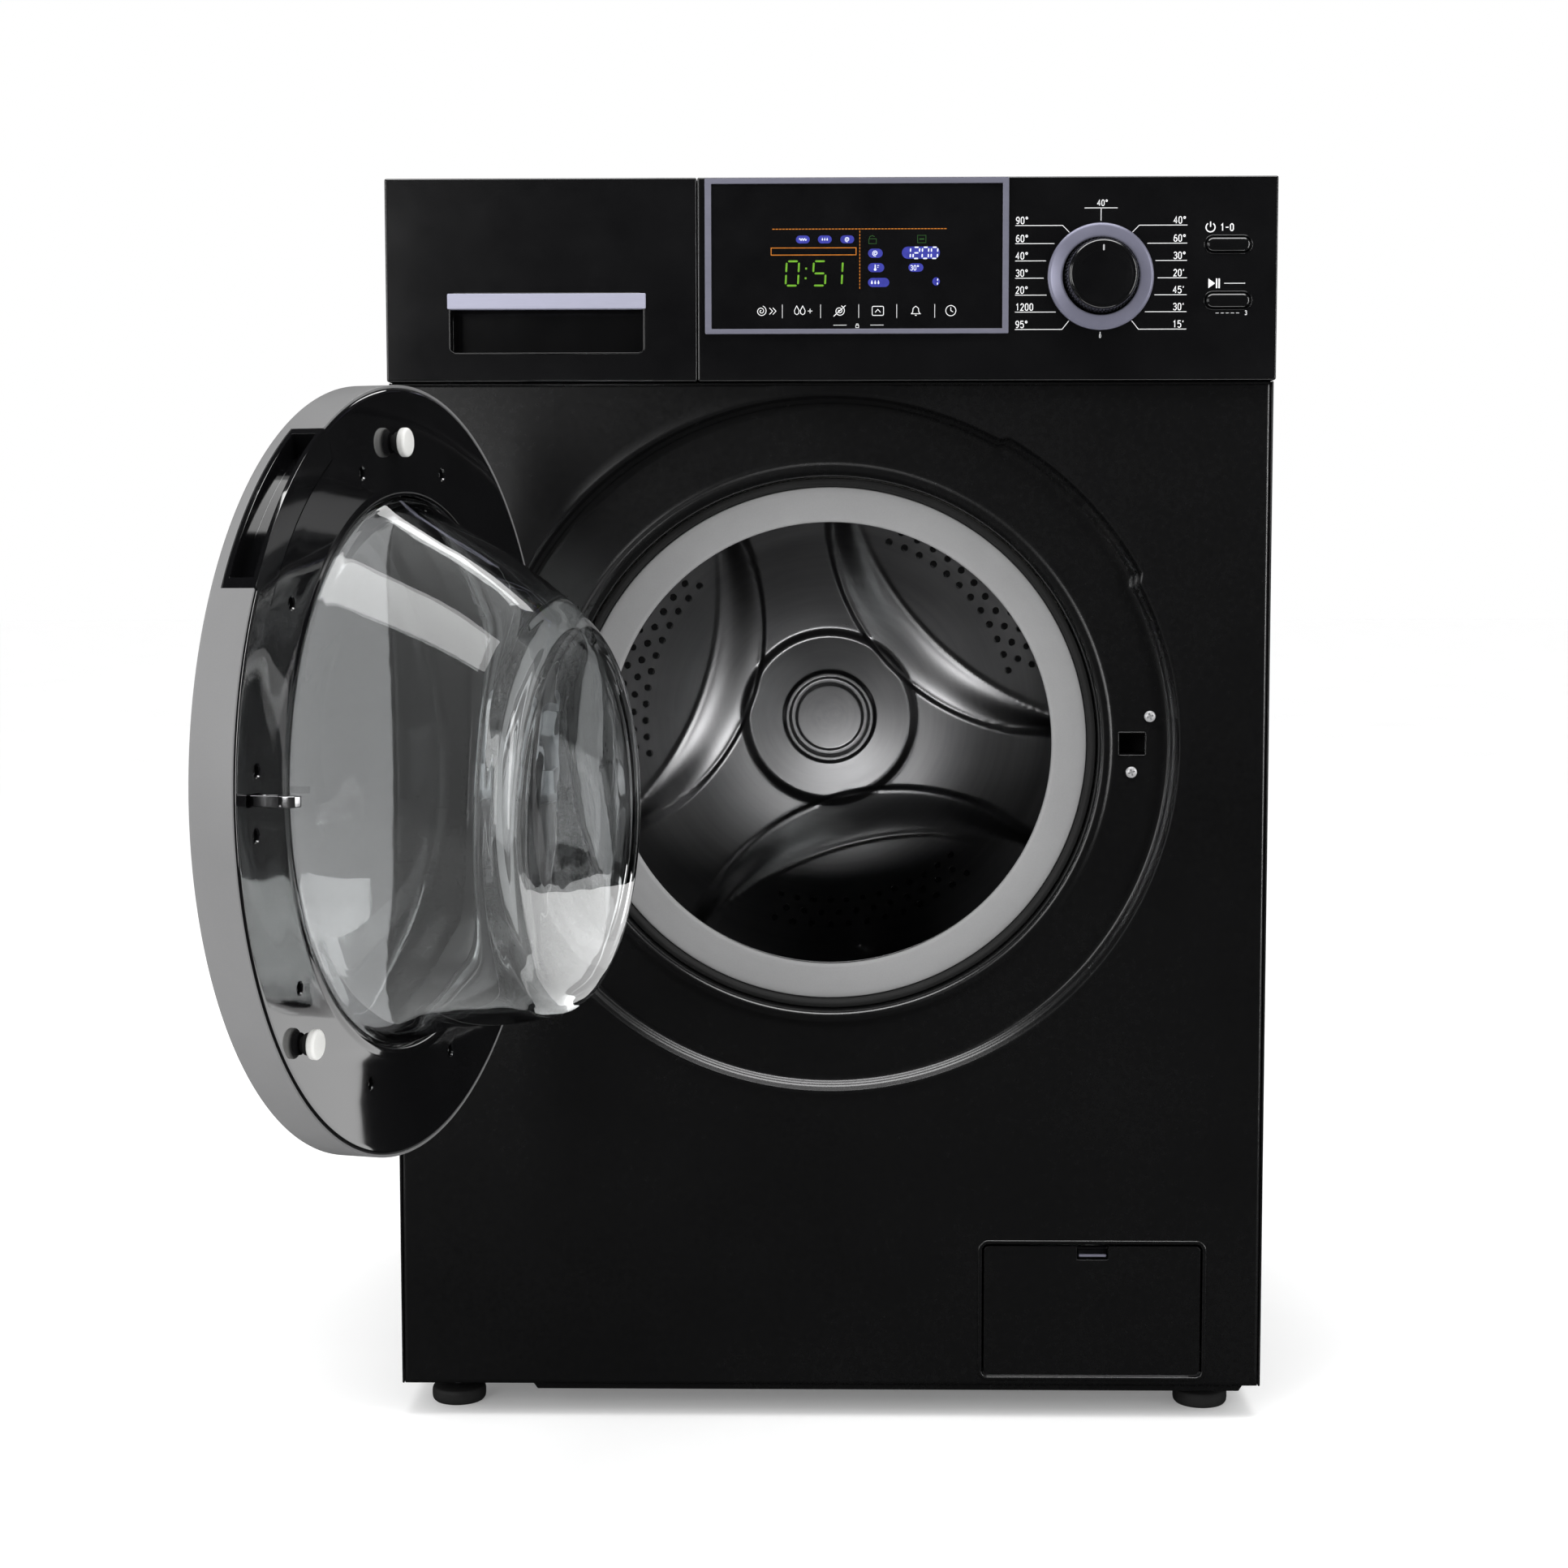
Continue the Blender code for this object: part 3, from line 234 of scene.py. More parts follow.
M["seal"] = surface("grey_seal_rubber", (0.255, 0.255, 0.257), (0.300, 0.300, 0.303), (0.50, 0.62), grain=1200, cloud=18, wave=(22.0, 0.10, 0.001), fine=0.18, specular=0.35)
M["rubber"] = surface("black_rubber", (0.010, 0.010, 0.010), (0.020, 0.020, 0.020), (0.55, 0.75), grain=900, cloud=30, peel=(900.0, 0.25, 0.0004), specular=0.35)
M["white"] = surface("white_buffer", (0.66, 0.66, 0.64), (0.76, 0.76, 0.74), (0.35, 0.48), grain=1500, cloud=60, fine=0.15)
M["chrome"] = surface("bright_hook_steel", (0.55, 0.55, 0.56), (0.72, 0.72, 0.73), (0.10, 0.22), metal=1.0, grain=1500, cloud=90, wave=(120.0, 0.15, 0.0005))
M["zinc"] = surface("zinc_plate", (0.40, 0.41, 0.43), (0.58, 0.58, 0.60), (0.28, 0.42), metal=0.95, grain=500, cloud=120, fine=0.2)
M["screw"] = surface("bright_screw", (0.50, 0.50, 0.51), (0.68, 0.68, 0.69), (0.28, 0.42), metal=0.45, grain=500, cloud=120, fine=0.2)
M["alloy"] = surface("cast_alloy", (0.42, 0.42, 0.43), (0.56, 0.56, 0.57), (0.45, 0.60), metal=0.9, grain=700, cloud=60, peel=(1500.0, 0.35, 0.0004))
M["grey"] = surface("grey_moulding", (0.17, 0.175, 0.18), (0.22, 0.225, 0.23), (0.42, 0.55), grain=1300, cloud=20, fine=0.2)
M["tray"] = surface("tray_grey", (0.30, 0.305, 0.31), (0.36, 0.365, 0.37), (0.35, 0.46), grain=1300, cloud=20, fine=0.15)
M["concrete"] = surface("cast_concrete", (0.26, 0.25, 0.235), (0.42, 0.41, 0.385), (0.80, 0.95), grain=220, cloud=30, peel=(260.0, 0.6, 0.002))
M["print"] = surface("white_print", (0.78, 0.78, 0.79), (0.88, 0.88, 0.89), (0.45, 0.60), grain=2600, cloud=70, fine=0.1)
M["print_dim"] = surface("grey_print", (0.30, 0.30, 0.31), (0.42, 0.42, 0.43), (0.45, 0.60), grain=2600, cloud=70, fine=0.1)
M["board"] = surface("circuit_board", (0.010, 0.10, 0.04), (0.025, 0.19, 0.08), (0.30, 0.45), grain=600, cloud=200, peel=(900.0, 0.2, 0.0003))
M["laminate"] = surface("black_laminate", (0.0075, 0.0075, 0.0080), (0.0130, 0.0130, 0.0135), (0.30, 0.42), grain=1500, cloud=16, peel=(1700.0, 0.22, 0.00025))
# near-black finish for the discs in the drum-back eyelets: painted shade standing in for the dark seen through a hole
M["hole"] = surface("dark_hole", (0.0015, 0.0015, 0.0016), (0.0030, 0.0030, 0.0032), (0.6, 0.8), grain=1500, cloud=60, fine=0.1, specular=0.2)


def stainless(name, dark, light, rough, kr, ka, ky):
    """Turned steel: fine lines that follow the turning, over soft smudges."""
    mat, tree, bsdf = nodes_of(name)
    lines = noise_of(tree, polar(tree, SX, AXIS_Z, kr, ka, ky), 1.0, 3.0, 0.6)
    smudge = noise_of(tree, coords(tree), 16.0, 5.0, 0.6)
    both = add(tree, "ShaderNodeMath", operation="MULTIPLY_ADD")
    tree.links.new(lines, both.inputs[0])
    both.inputs[1].default_value = 0.5
    half = add(tree, "ShaderNodeMath", operation="MULTIPLY")
    half.inputs[1].default_value = 0.5
    tree.links.new(smudge, half.inputs[0])
    tree.links.new(half.outputs[0], both.inputs[2])
    tree.links.new(tinted(tree, both.outputs[0], dark, light), bsdf.inputs["Base Color"])
    tree.links.new(ranged(tree, both.outputs[0], rough[0], rough[1]), bsdf.inputs["Roughness"])
    bsdf.inputs["Metallic"].default_value = 1.0
    bumped(tree, bsdf, [(noise_of(tree, coords(tree), 6.0, 2.0, 0.5), 0.05, 0.006), (lines, 0.05, 0.00004)])
    return mat


M["steel_back"] = stainless("drum_back_steel", (0.155, 0.155, 0.158), (0.195, 0.195, 0.198), (0.27, 0.33), 260.0, 1.2, 120.0)
M["steel_shell"] = stainless("drum_shell_steel", (0.17, 0.17, 0.173), (0.215, 0.215, 0.218), (0.25, 0.32), 120.0, 1.2, 260.0)
M["steel"] = surface("plain_stainless", (0.30, 0.30, 0.31), (0.42, 0.42, 0.43), (0.22, 0.34), metal=1.0, grain=900, cloud=60, fine=0.15)


def glass(name, tint, rough, ior, waves):
    mat, tree, bsdf = nodes_of(name)
    v = coords(tree)
    bsdf.inputs["Base Color"].default_value = (*tint, 1.0)
    bsdf.inputs["Transmission Weight"].default_value = 1.0
    bsdf.inputs["IOR"].default_value = ior
    tree.links.new(ranged(tree, noise_of(tree, v, 40.0, 4.0, 0.6), rough[0], rough[1]), bsdf.inputs["Roughness"])
    bumped(tree, bsdf, [(noise_of(tree, v, s, 2.0, 0.4), a, d) for s, a, d in waves])
    return mat


M["glass"] = glass("pressed_clear_glass", (0.93, 0.95, 0.95), (0.0, 0.02), 1.50, [(9.0, 0.22, 0.006), (34.0, 0.06, 0.0015)])
M["smoked"] = glass("smoked_window", (0.26, 0.26, 0.265), (0.01, 0.04), 1.45, [(7.0, 0.03, 0.002)])


def lit(name, colour, strength, dim=0.75):
    """A lamp segment behind the display window: its light falls off a little from place to place."""
    mat, tree, bsdf = nodes_of(name)
    cloud = noise_of(tree, coords(tree), 260.0, 3.0, 0.5)
    low = tuple(c * dim for c in colour)
    out = tinted(tree, cloud, low, colour)
    tree.links.new(out, bsdf.inputs["Emission Color"])
    tree.links.new(tinted(tree, cloud, tuple(c * 0.2 for c in low), tuple(c * 0.25 for c in colour)), bsdf.inputs["Base Color"])
    bsdf.inputs["Emission Strength"].default_value = strength
    bsdf.inputs["Roughness"].default_value = 0.4
    return mat


M["green"] = lit("lit_green", (0.19, 0.52, 0.02), 0.75)
M["green_dim"] = lit("lit_green_dim", (0.03, 0.13, 0.02), 0.5)
M["amber"] = lit("lit_amber", (0.80, 0.24, 0.01), 0.75)
M["blue"] = lit("lit_blue", (0.05, 0.06, 0.55), 0.55)
M["white_lit"] = lit("lit_white", (0.80, 0.84, 1.0), 1.0, 0.9)


# ------------------------------------------------------------------ mesh helpers
def body_of_node(node):
    return next(b for b, members in frame["record"]["behaviour"]["bodies"].items() if node in members)


def apply_all(obj):
    """Keeps what the modifiers make as the object's own mesh."""
    graph = bpy.context.evaluated_depsgraph_get()
    made = bpy.data.meshes.new_from_object(obj.evaluated_get(graph), depsgraph=graph)
    obj.modifiers.clear()
    old = obj.data
    obj.data = made
    if old.users == 0:
        bpy.data.meshes.remove(old)


def link(name, bm):
    bmesh.ops.recalc_face_normals(bm, faces=bm.faces)
    if bm.calc_volume(signed=True) < 0:
        bmesh.ops.reverse_faces(bm, faces=bm.faces)
    mesh = bpy.data.meshes.new(name)
    bm.to_mesh(mesh)
    bm.free()
    obj = bpy.data.objects.new(name, mesh)
    bpy.context.scene.collection.objects.link(obj)
    return obj


def boolean(obj, bm, operation="DIFFERENCE"):
    tool = link(obj.name + "_tool", bm)
    mod = obj.modifiers.new("b", "BOOLEAN")
    mod.operation, mod.solver, mod.object = operation, "EXACT", tool
    bpy.context.view_layer.update()
    apply_all(obj)
    mesh = tool.data
    bpy.data.objects.remove(tool)
    bpy.data.meshes.remove(mesh)


def rounded_edges(obj, width, segments=2, angle=35.0):
    mod = obj.modifiers.new("edges", "BEVEL")
    mod.width, mod.segments, mod.limit_method = width, segments, "ANGLE"
    mod.angle_limit = radians(angle)
    mod.miter_outer = "MITER_ARC"
    mod.use_clamp_overlap = True
    bpy.context.view_layer.update()
    apply_all(obj)


def settle(obj, body, look, replaces=(), smooth=38.0, weighted=False):
    """Moves a finished mesh to its place, dresses it and hangs it on its body."""
    obj.data.transform(PLACE.get(body, CAB_M))
    obj.data.shade_smooth()
    obj.data.set_sharp_from_angle(angle=radians(smooth))
    obj.data.materials.clear()
    obj.data.materials.append(M[look] if isinstance(look, str) else look)
    if weighted:
        mod = obj.modifiers.new("normals", "WEIGHTED_NORMAL")
        mod.keep_sharp = True
    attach(obj, body)
    if replaces:
        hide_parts(*replaces)
    return obj


def even(count, start=0.0):
    return [start + 2.0 * pi * k / count for k in range(count)]


def skin(bm, loops, closed):
    rings = [[bm.verts.new(p) for p in loop] for loop in loops]
    pairs = list(zip(rings, rings[1:]))
    if closed:
        pairs.append((rings[-1], rings[0]))
    for a, b in pairs:
        n = max(len(a), len(b))
        for k in range(n):
            m = (k + 1) % n
            if len(a) == 1:
                bm.faces.new((a[0], b[k], b[m]))
            elif len(b) == 1:
                bm.faces.new((a[k], b[0], a[m]))
            else:
                bm.faces.new((a[k], b[k], b[m], a[m]))
    return rings


def soft(points, radius, steps=3, closed=True):
    """Rounds every corner of a profile. Points on the axis stay."""
    out = []
    n = len(points)
    for i, p in enumerate(points):
        if (not closed and i in (0, n - 1)) or p[0] == 0:
            out.append(p)
            continue
        a, b = points[i - 1], points[(i + 1) % n]
        r = p[2] if len(p) > 2 else radius
        la, lb = hypot(a[0] - p[0], a[1] - p[1]), hypot(b[0] - p[0], b[1] - p[1])
        d = min(r, 0.46 * la, 0.46 * lb)
        s = (p[0] + (a[0] - p[0]) * d / la, p[1] + (a[1] - p[1]) * d / la)
        e = (p[0] + (b[0] - p[0]) * d / lb, p[1] + (b[1] - p[1]) * d / lb)
        for k in range(steps + 1):
            t = k / steps
            out.append(tuple((1 - t) ** 2 * s[j] + 2 * t * (1 - t) * p[j] + t * t * e[j] for j in (0, 1)))
    return out


def turned_bm(profile, count=160, cx=0.0, cz=None, axis="Y"):
    cz = AXIS_Z if cz is None else cz
    bm = bmesh.new()
    loops = []
    for r, y in profile:
        if r == 0:
            loops.append([(cx, y, cz)] if axis == "Y" else [(cx, cz, y)])
        elif axis == "Y":
            loops.append([(cx + r * cos(a), y, cz + r * sin(a)) for a in even(count)])
        else:
            loops.append([(cx + r * cos(a), cz + r * sin(a), y) for a in even(count)])
    skin(bm, loops, all(r > 0 for r, _ in profile))
    return bm


def prism_bm(points, axis, low, high):
    place = {"Z": lambda p, h: (p[0], p[1], h), "Y": lambda p, h: (p[0], h, p[1]), "X": lambda p, h: (h, p[0], p[1])}[axis]
    bm = bmesh.new()
    a = [bm.verts.new(place(p, low)) for p in points]
    b = [bm.verts.new(place(p, high)) for p in points]
    bm.faces.new(a)
    bm.faces.new(list(reversed(b)))
    n = len(points)
    for k in range(n):
        m = (k + 1) % n
        bm.faces.new((a[k], b[k], b[m], a[m]))
    return bm


def block_bm(x0, x1, y0, y1, z0, z1):
    return prism_bm([(x0, z0), (x1, z0), (x1, z1), (x0, z1)], "Y", y0, y1)


def arc(cx, cy, r, a0, a1, steps):
    return [(cx + r * cos(radians(a0 + (a1 - a0) * k / steps)), cy + r * sin(radians(a0 + (a1 - a0) * k / steps))) for k in range(steps + 1)]


def rounded(x0, x1, z0, z1, r, steps=6):
    return arc(x1 - r, z1 - r, r, 0, 90, steps) + arc(x0 + r, z1 - r, r, 90, 180, steps) + arc(x0 + r, z0 + r, r, 180, 270, steps) + arc(x1 - r, z0 + r, r, 270, 360, steps)


def pill(cx, cz, w, h, steps=12):
    r = h / 2
    return arc(cx + w / 2 - r, cz, r, -90, 90, steps) + arc(cx - w / 2 + r, cz, r, 90, 270, steps)


def sector_bm(r0, r1, y0, y1, a0, a1, steps, cx=0.0, cz=None):
    cz = AXIS_Z if cz is None else cz
    return prism_bm(arc(cx, cz, r1, a0, a1, steps) + arc(cx, cz, r0, a1, a0, steps), "Y", y0, y1)


def merge(bms):
    """Several loose shapes as one mesh."""
    out = bmesh.new()
    for b in bms:
        mesh = bpy.data.meshes.new("part")
        b.to_mesh(mesh)
        b.free()
        out.from_mesh(mesh)
        bpy.data.meshes.remove(mesh)
    return out


def lens(cx, cz, y, r, out, facets=18, dome=0.3):
    """A small raised dot on a face that looks along -Y."""
    return turned_bm([(0, y - out), (r * 0.6, y - out * (1 - dome * 0.3)), (r * 0.92, y - out * (1 - dome)), (r, y), (0, y)], facets, cx, cz)


# ------------------------------------------------------------------ front panel
PANEL_X, PANEL_Z0, PANEL_Z1 = HALF_W - 0.0020, SKIRT_Z, SEAM_Z - 0.0004


def ease(t):
    t = max(0.0, min(1.0, t))
    return t * t * (3 - 2 * t)


def bump(a):
    d = degrees(a) % 360
    return min(ease((d - 27.6) / 1.8), ease((61.4 - d) / 1.8))


def pocket(a):
    d = abs(degrees(a) % 360 - 180.0)
    return ease((24.4 - d) / 1.5)


corners = [atan2(z - AXIS_Z, x) % (2 * pi) for x in (-PANEL_X, PANEL_X) for z in (PANEL_Z0, PANEL_Z1)]
panel_angles = [a for a in even(432) if all(abs(a - b) > radians(0.3) for b in corners)]
panel_angles += [radians(180 + s * d) for s in (-1, 1) for d in (23.1, 23.5, 23.9, 24.15, 24.4)]
panel_angles += [radians(s0 + 0.2 * k) for s0 in (27.4, 59.4) for k in range(12)]
panel_angles = sorted(set(round(a, 7) for a in panel_angles + corners))


def rect_point(a, y, x1=PANEL_X, z0=PANEL_Z0, z1=PANEL_Z1):
    c, s = cos(a), sin(a)
    reach = []
    if abs(c) > 1e-9:
        reach.append(x1 / abs(c))
    if s > 1e-9:
        reach.append((z1 - AXIS_Z) / s)
    if s < -1e-9:
        reach.append((z0 - AXIS_Z) / s)
    t = min(reach)
    return (t * c, y, AXIS_Z + t * s)


def ring(radius, y, widen=0.0, deepen=0.0):
    out = []
    for a in panel_angles:
        r = radius + widen * bump(a)
        out.append((r * cos(a), y + deepen * pocket(a), AXIS_Z + r * sin(a)))
    return out


F, D = FRONT_Y, DISH_FLOOR_Y
B = DISH_BUMP
P = 0.0035
profile = [  # radius, y, how much it widens at the grip, how much it deepens at the hinge
    (0.2470, F, B, 0), (0.2432, F - 0.0001, B, 0), (0.2404, F - 0.00045, B, 0), (0.2388, F - 0.0006, B, 0), (0.2374, F - 0.0002, B, 0),
    (0.2364, F + 0.0010, B, 0), (0.2358, F + 0.0024, B, 0), (0.2350, F + 0.0036, B * 0.95, 0), (0.2339, F + 0.0043, B * 0.9, P * 0.10), (0.2330, F + 0.0050, B * 0.85, P * 0.2),
    (0.2324, F + 0.0060, B * 0.8, P * 0.5), (0.2316, F + 0.0071, B * 0.7, P * 0.85), (0.2300, F + 0.0078, B * 0.6, P), (0.2270, D, B * 0.4, P),
    (0.2150, D, 0, P), (0.2000, D, 0, P), (0.1958, D, 0, P), (0.1938, D - 0.0001, 0, P), (0.1924, D - 0.0006, 0, P * 0.7), (0.1912, D - 0.0013, 0, P * 0.2), (0.1900, D - 0.0016, 0, 0),
    (0.1876, D - 0.0016, 0, 0), (0.1862, D - 0.0012, 0, 0), (0.1850, D - 0.0005, 0, 0), (0.1841, D + 0.0008, 0, 0), (0.1836, D + 0.0024, 0, 0), (PORT_R, D + 0.0050, 0, 0), (PORT_R, -0.2570, 0, 0),
]
bm = bmesh.new()
T = 0.0012
front_loops = [[rect_point(a, F + y, PANEL_X - d, PANEL_Z0 + d, PANEL_Z1 - d) for a in panel_angles] for d, y in ((0.0, 0.0034), (0.0002, 0.0023), (0.0006, 0.0014), (0.0013, 0.0007), (0.0022, 0.0002), (0.0034, 0.0))]
front_loops += [ring(*row) for row in profile]
back_loops = [ring(PORT_R + T, -0.2570), ring(PORT_R + T, D + 0.0030), ring(0.1925, D + 0.0015, 0, P), ring(DISH_FLOOR_R + 0.0008, D + 0.0015, B * 0.6, P), ring(DISH_R + 0.0015, F + 0.0015, B)]
back_loops += [[rect_point(a, F + 0.0015, PANEL_X - 0.0030, PANEL_Z0 + 0.0030, PANEL_Z1 - 0.0030) for a in panel_angles], [rect_point(a, F + 0.0036, PANEL_X - 0.0011, PANEL_Z0 + 0.0011, PANEL_Z1 - 0.0011) for a in panel_angles]]
skin(bm, front_loops + back_loops, True)
panel = link("front_panel_pressing", bm)
HATCH_X0, HATCH_X1, HATCH_Z0, HATCH_Z1 = 0.1051, 0.2573, 0.0295, 0.1230
boolean(panel, prism_bm(rounded(HATCH_X0, HATCH_X1, HATCH_Z0, HATCH_Z1, 0.0045, 8), "Y", F - 0.01, F + 0.01))
boolean(panel, prism_bm(rounded(0.1974, 0.2147, 0.4616, 0.4762, 0.0006, 3), "Y", D - 0.01, D + 0.01))
settle(panel, "cabinet", "enamel", ["front_panel"], 32, True)

# rolled border round the service opening, and the pressed edge round the latch slot
def border(name, outline, width, y0, lift, look, sink=0.0, body="cabinet"):
    """A rounded bead that follows a closed outline on a face that looks along -Y."""
    n = len(outline)
    bm = bmesh.new()
    loops = []
    steps = 6
    cx = sum(p[0] for p in outline) / n
    cz = sum(p[1] for p in outline) / n
    normals = []
    for i in range(n):
        a, b = outline[i - 1], outline[(i + 1) % n]
        t = Vector((b[0] - a[0], b[1] - a[1]))
        if t.length < 1e-9:
            t = Vector((1, 0))
        t.normalize()
        nrm = Vector((t.y, -t.x))
        if nrm.dot(Vector((outline[i][0] - cx, outline[i][1] - cz))) < 0:
            nrm = -nrm
        normals.append(nrm)
    for k in range(steps + 1):
        u = -1 + 2 * k / steps
        h = lift * sqrt(max(0.0, 1 - u * u))
        loops.append([(outline[i][0] + normals[i].x * u * width / 2, y0 - h, outline[i][1] + normals[i].y * u * width / 2) for i in range(n)])
    loops.append([(outline[i][0] + normals[i].x * width / 2, y0 + 0.0004 + sink, outline[i][1] + normals[i].y * width / 2) for i in range(n)])
    loops.append([(outline[i][0] - normals[i].x * width / 2, y0 + 0.0004 + sink, outline[i][1] - normals[i].y * width / 2) for i in range(n)])
    skin(bm, loops, True)
    return settle(link(name, bm), body, look, smooth=50)


lip_line = [(F - 0.0001 - 0.0011 * sin(pi * k / 8), PANEL_Z1 - 0.0012 + 0.0011 * cos(pi * k / 8)) for k in range(9)]
lip = link("front_panel_top_roll", prism_bm(lip_line + [(F + 0.0008, PANEL_Z1 - 0.0024), (F + 0.0008, PANEL_Z1 - 0.0001)], "X", -PANEL_X + 0.0010, PANEL_X - 0.0010))
settle(lip, "cabinet", "enamel", smooth=40)
kick = link("front_panel_kick_fold", prism_bm([(-0.2078, PANEL_Z0 + 0.0012), (-0.2040, PANEL_Z0 - 0.0041), (0.2838, PANEL_Z0 - 0.0041), (0.2872, PANEL_Z0 + 0.0012)], "Y", F + 0.0036, F + 0.0050))
rounded_edges(kick, 0.0005, 2, 40)
settle(kick, "cabinet", "enamel", smooth=35, weighted=True)
border("service_opening_bead", rounded(HATCH_X0 - 0.0014, HATCH_X1 + 0.0014, HATCH_Z0 - 0.0014, HATCH_Z1 + 0.0014, 0.0058, 8), 0.0026, F, 0.0006, "enamel")
border("latch_slot_bead", rounded(0.1968, 0.2153, 0.4610, 0.4768, 0.0010, 4), 0.0011, D, 0.0005, "enamel")


# ------------------------------------------------------------------ service hatch and filter cap
flap = link("service_flap", prism_bm(rounded(HATCH_X0 + 0.0014, HATCH_X1 - 0.0014, HATCH_Z0 + 0.0016, HATCH_Z1 - 0.0014, 0.0036, 8), "Y", F + 0.0003, F + 0.0030))
boolean(flap, prism_bm(rounded(0.1708, 0.1924, 0.1120, 0.1300, 0.0012, 3), "Y", F - 0.01, F + 0.0100))
rounded_edges(flap, 0.0006, 3, 30)
settle(flap, "hatch", "enamel", ["service_hatch"], 30, True)
shelf = link("service_flap_catch", prism_bm([(F + 0.0040, 0.1105), (F + 0.0066, 0.1105), (F + 0.0066, 0.1206), (F + 0.0030, 0.1206), (F + 0.0030, 0.1190), (F + 0.0048, 0.1180), (F + 0.0048, 0.1120), (F + 0.0030, 0.1115)], "X", 0.1716, 0.1916))
rounded_edges(shelf, 0.0003, 2)
settle(shelf, "hatch", "gloss", smooth=30)
ledge = link("service_flap_catch_lip", prism_bm(rounded(0.1722, 0.1910, 0.1138, 0.1154, 0.0005, 3), "Y", F + 0.0018, F + 0.0046))
rounded_edges(ledge, 0.0002, 2)
settle(ledge, "hatch", "lavender", smooth=30)

cap_x, cap_z = 0.5 * (HATCH_X0 + HATCH_X1), 0.0800
cap = link("filter_cap_moulding", turned_bm(soft([(0, -0.2590), (0.0345, -0.2590), (0.0360, -0.2580), (0.0360, -0.2565), (0.0322, -0.2565), (0.0322, -0.2350), (0, -0.2350)], 0.0008), 96, cap_x, cap_z))
bar_points = rounded(cap_x - 0.0240, cap_x + 0.0240, cap_z - 0.0030, cap_z + 0.0030, 0.0022, 5)
boolean(cap, prism_bm(bar_points, "Y", -0.2719, -0.2580), "UNION")
rounded_edges(cap, 0.0005, 2, 40)
settle(cap, "filter", "grey", ["filter_cap"], 35, True)
ribs = []
for a in even(24):
    cx, cz = cap_x + 0.0338 * cos(a), cap_z + 0.0338 * sin(a)
    ribs.append(turned_bm(soft([(0, -0.2598), (0.0010, -0.2598), (0.0013, -0.2588), (0, -0.2588)], 0.0002, 2), 10, cx, cz))
settle(link("filter_cap_grip_dots", merge(ribs)), "filter", "grey", smooth=50)

# ------------------------------------------------------------------ console and drawer front
DX0, DX1 = -0.2985, -0.0893
CZ0, CZ1 = SEAM_Z, 0.8490


def fascia_block(name, x0, x1):
    obj = link(name, block_bm(x0, x1, CONSOLE_Y, CONSOLE_Y + 0.0240, CZ0, CZ1))
    rounded_edges(obj, 0.0013, 4, 60)
    return obj


console = fascia_block("console_moulding", DX1 + 0.0004, HALF_W)
boolean(console, block_bm(DX1 + 0.0034, HALF_W - 0.0030, CONSOLE_Y + 0.0030, CONSOLE_Y + 0.05, CZ0 + 0.0030, 0.8460))
boolean(console, turned_bm([(0, CONSOLE_Y - 0.01), (0.0055, CONSOLE_Y - 0.01), (0.0055, CONSOLE_Y + 0.01), (0, CONSOLE_Y + 0.01)], 32, KNOB_X, KNOB_Z))
for z in (POWER_Z, START_Z):
    boolean(console, prism_bm(pill(BUTTON_X, z, 0.0305, 0.0104), "Y", CONSOLE_Y - 0.01, CONSOLE_Y + 0.01))
settle(console, "cabinet", "console", ["console_fascia"], 30, True)

drawer = fascia_block("drawer_front_moulding", DX0, DX1)
boolean(drawer, prism_bm(rounded(-0.2560, -0.1246, 0.7325, 0.7732, 0.0045, 8), "Y", CONSOLE_Y - 0.01, CONSOLE_Y + 0.0200))
rounded_edges(drawer, 0.0003, 2, 60)
settle(drawer, "drawer", "console", ["drawer_front"], 30, True)
border("drawer_recess_lip", rounded(-0.2556, -0.1250, 0.7329, 0.7728, 0.0042, 8), 0.0010, CONSOLE_Y, 0.0003, "console", body="drawer")
bar = link("drawer_pull_bar", prism_bm(rounded(-0.2570, -0.1236, 0.7624, 0.7727, 0.0008, 3), "Y", CONSOLE_Y - 0.0013, CONSOLE_Y + 0.0060))
rounded_edges(bar, 0.0007, 3, 40)
settle(bar, "drawer", "bar", ["drawer_handle_bar"], 30, True)

# window with its bezel
bez = link("display_bezel_frame", prism_bm(rounded(-0.0838, 0.1192, 0.7453, 0.8482, 0.0008, 4), "Y", CONSOLE_Y - 0.0022, CONSOLE_Y - 0.0002))
boolean(bez, prism_bm(rounded(-0.0795, 0.1151, 0.7486, 0.8444, 0.0004, 3), "Y", CONSOLE_Y - 0.01, CONSOLE_Y + 0.01))
rounded_edges(bez, 0.0006, 3, 40)
settle(bez, "cabinet", "lavender", ["display_bezel"], 30, True)
win = link("display_glass_panel", prism_bm(rounded(-0.0794, 0.1150, 0.7487, 0.8443, 0.0004, 3), "Y", CONSOLE_Y - 0.0013, CONSOLE_Y - 0.0003))
rounded_edges(win, 0.0002, 2, 40)
settle(win, "cabinet", "gloss", ["display_window"], 30, True)

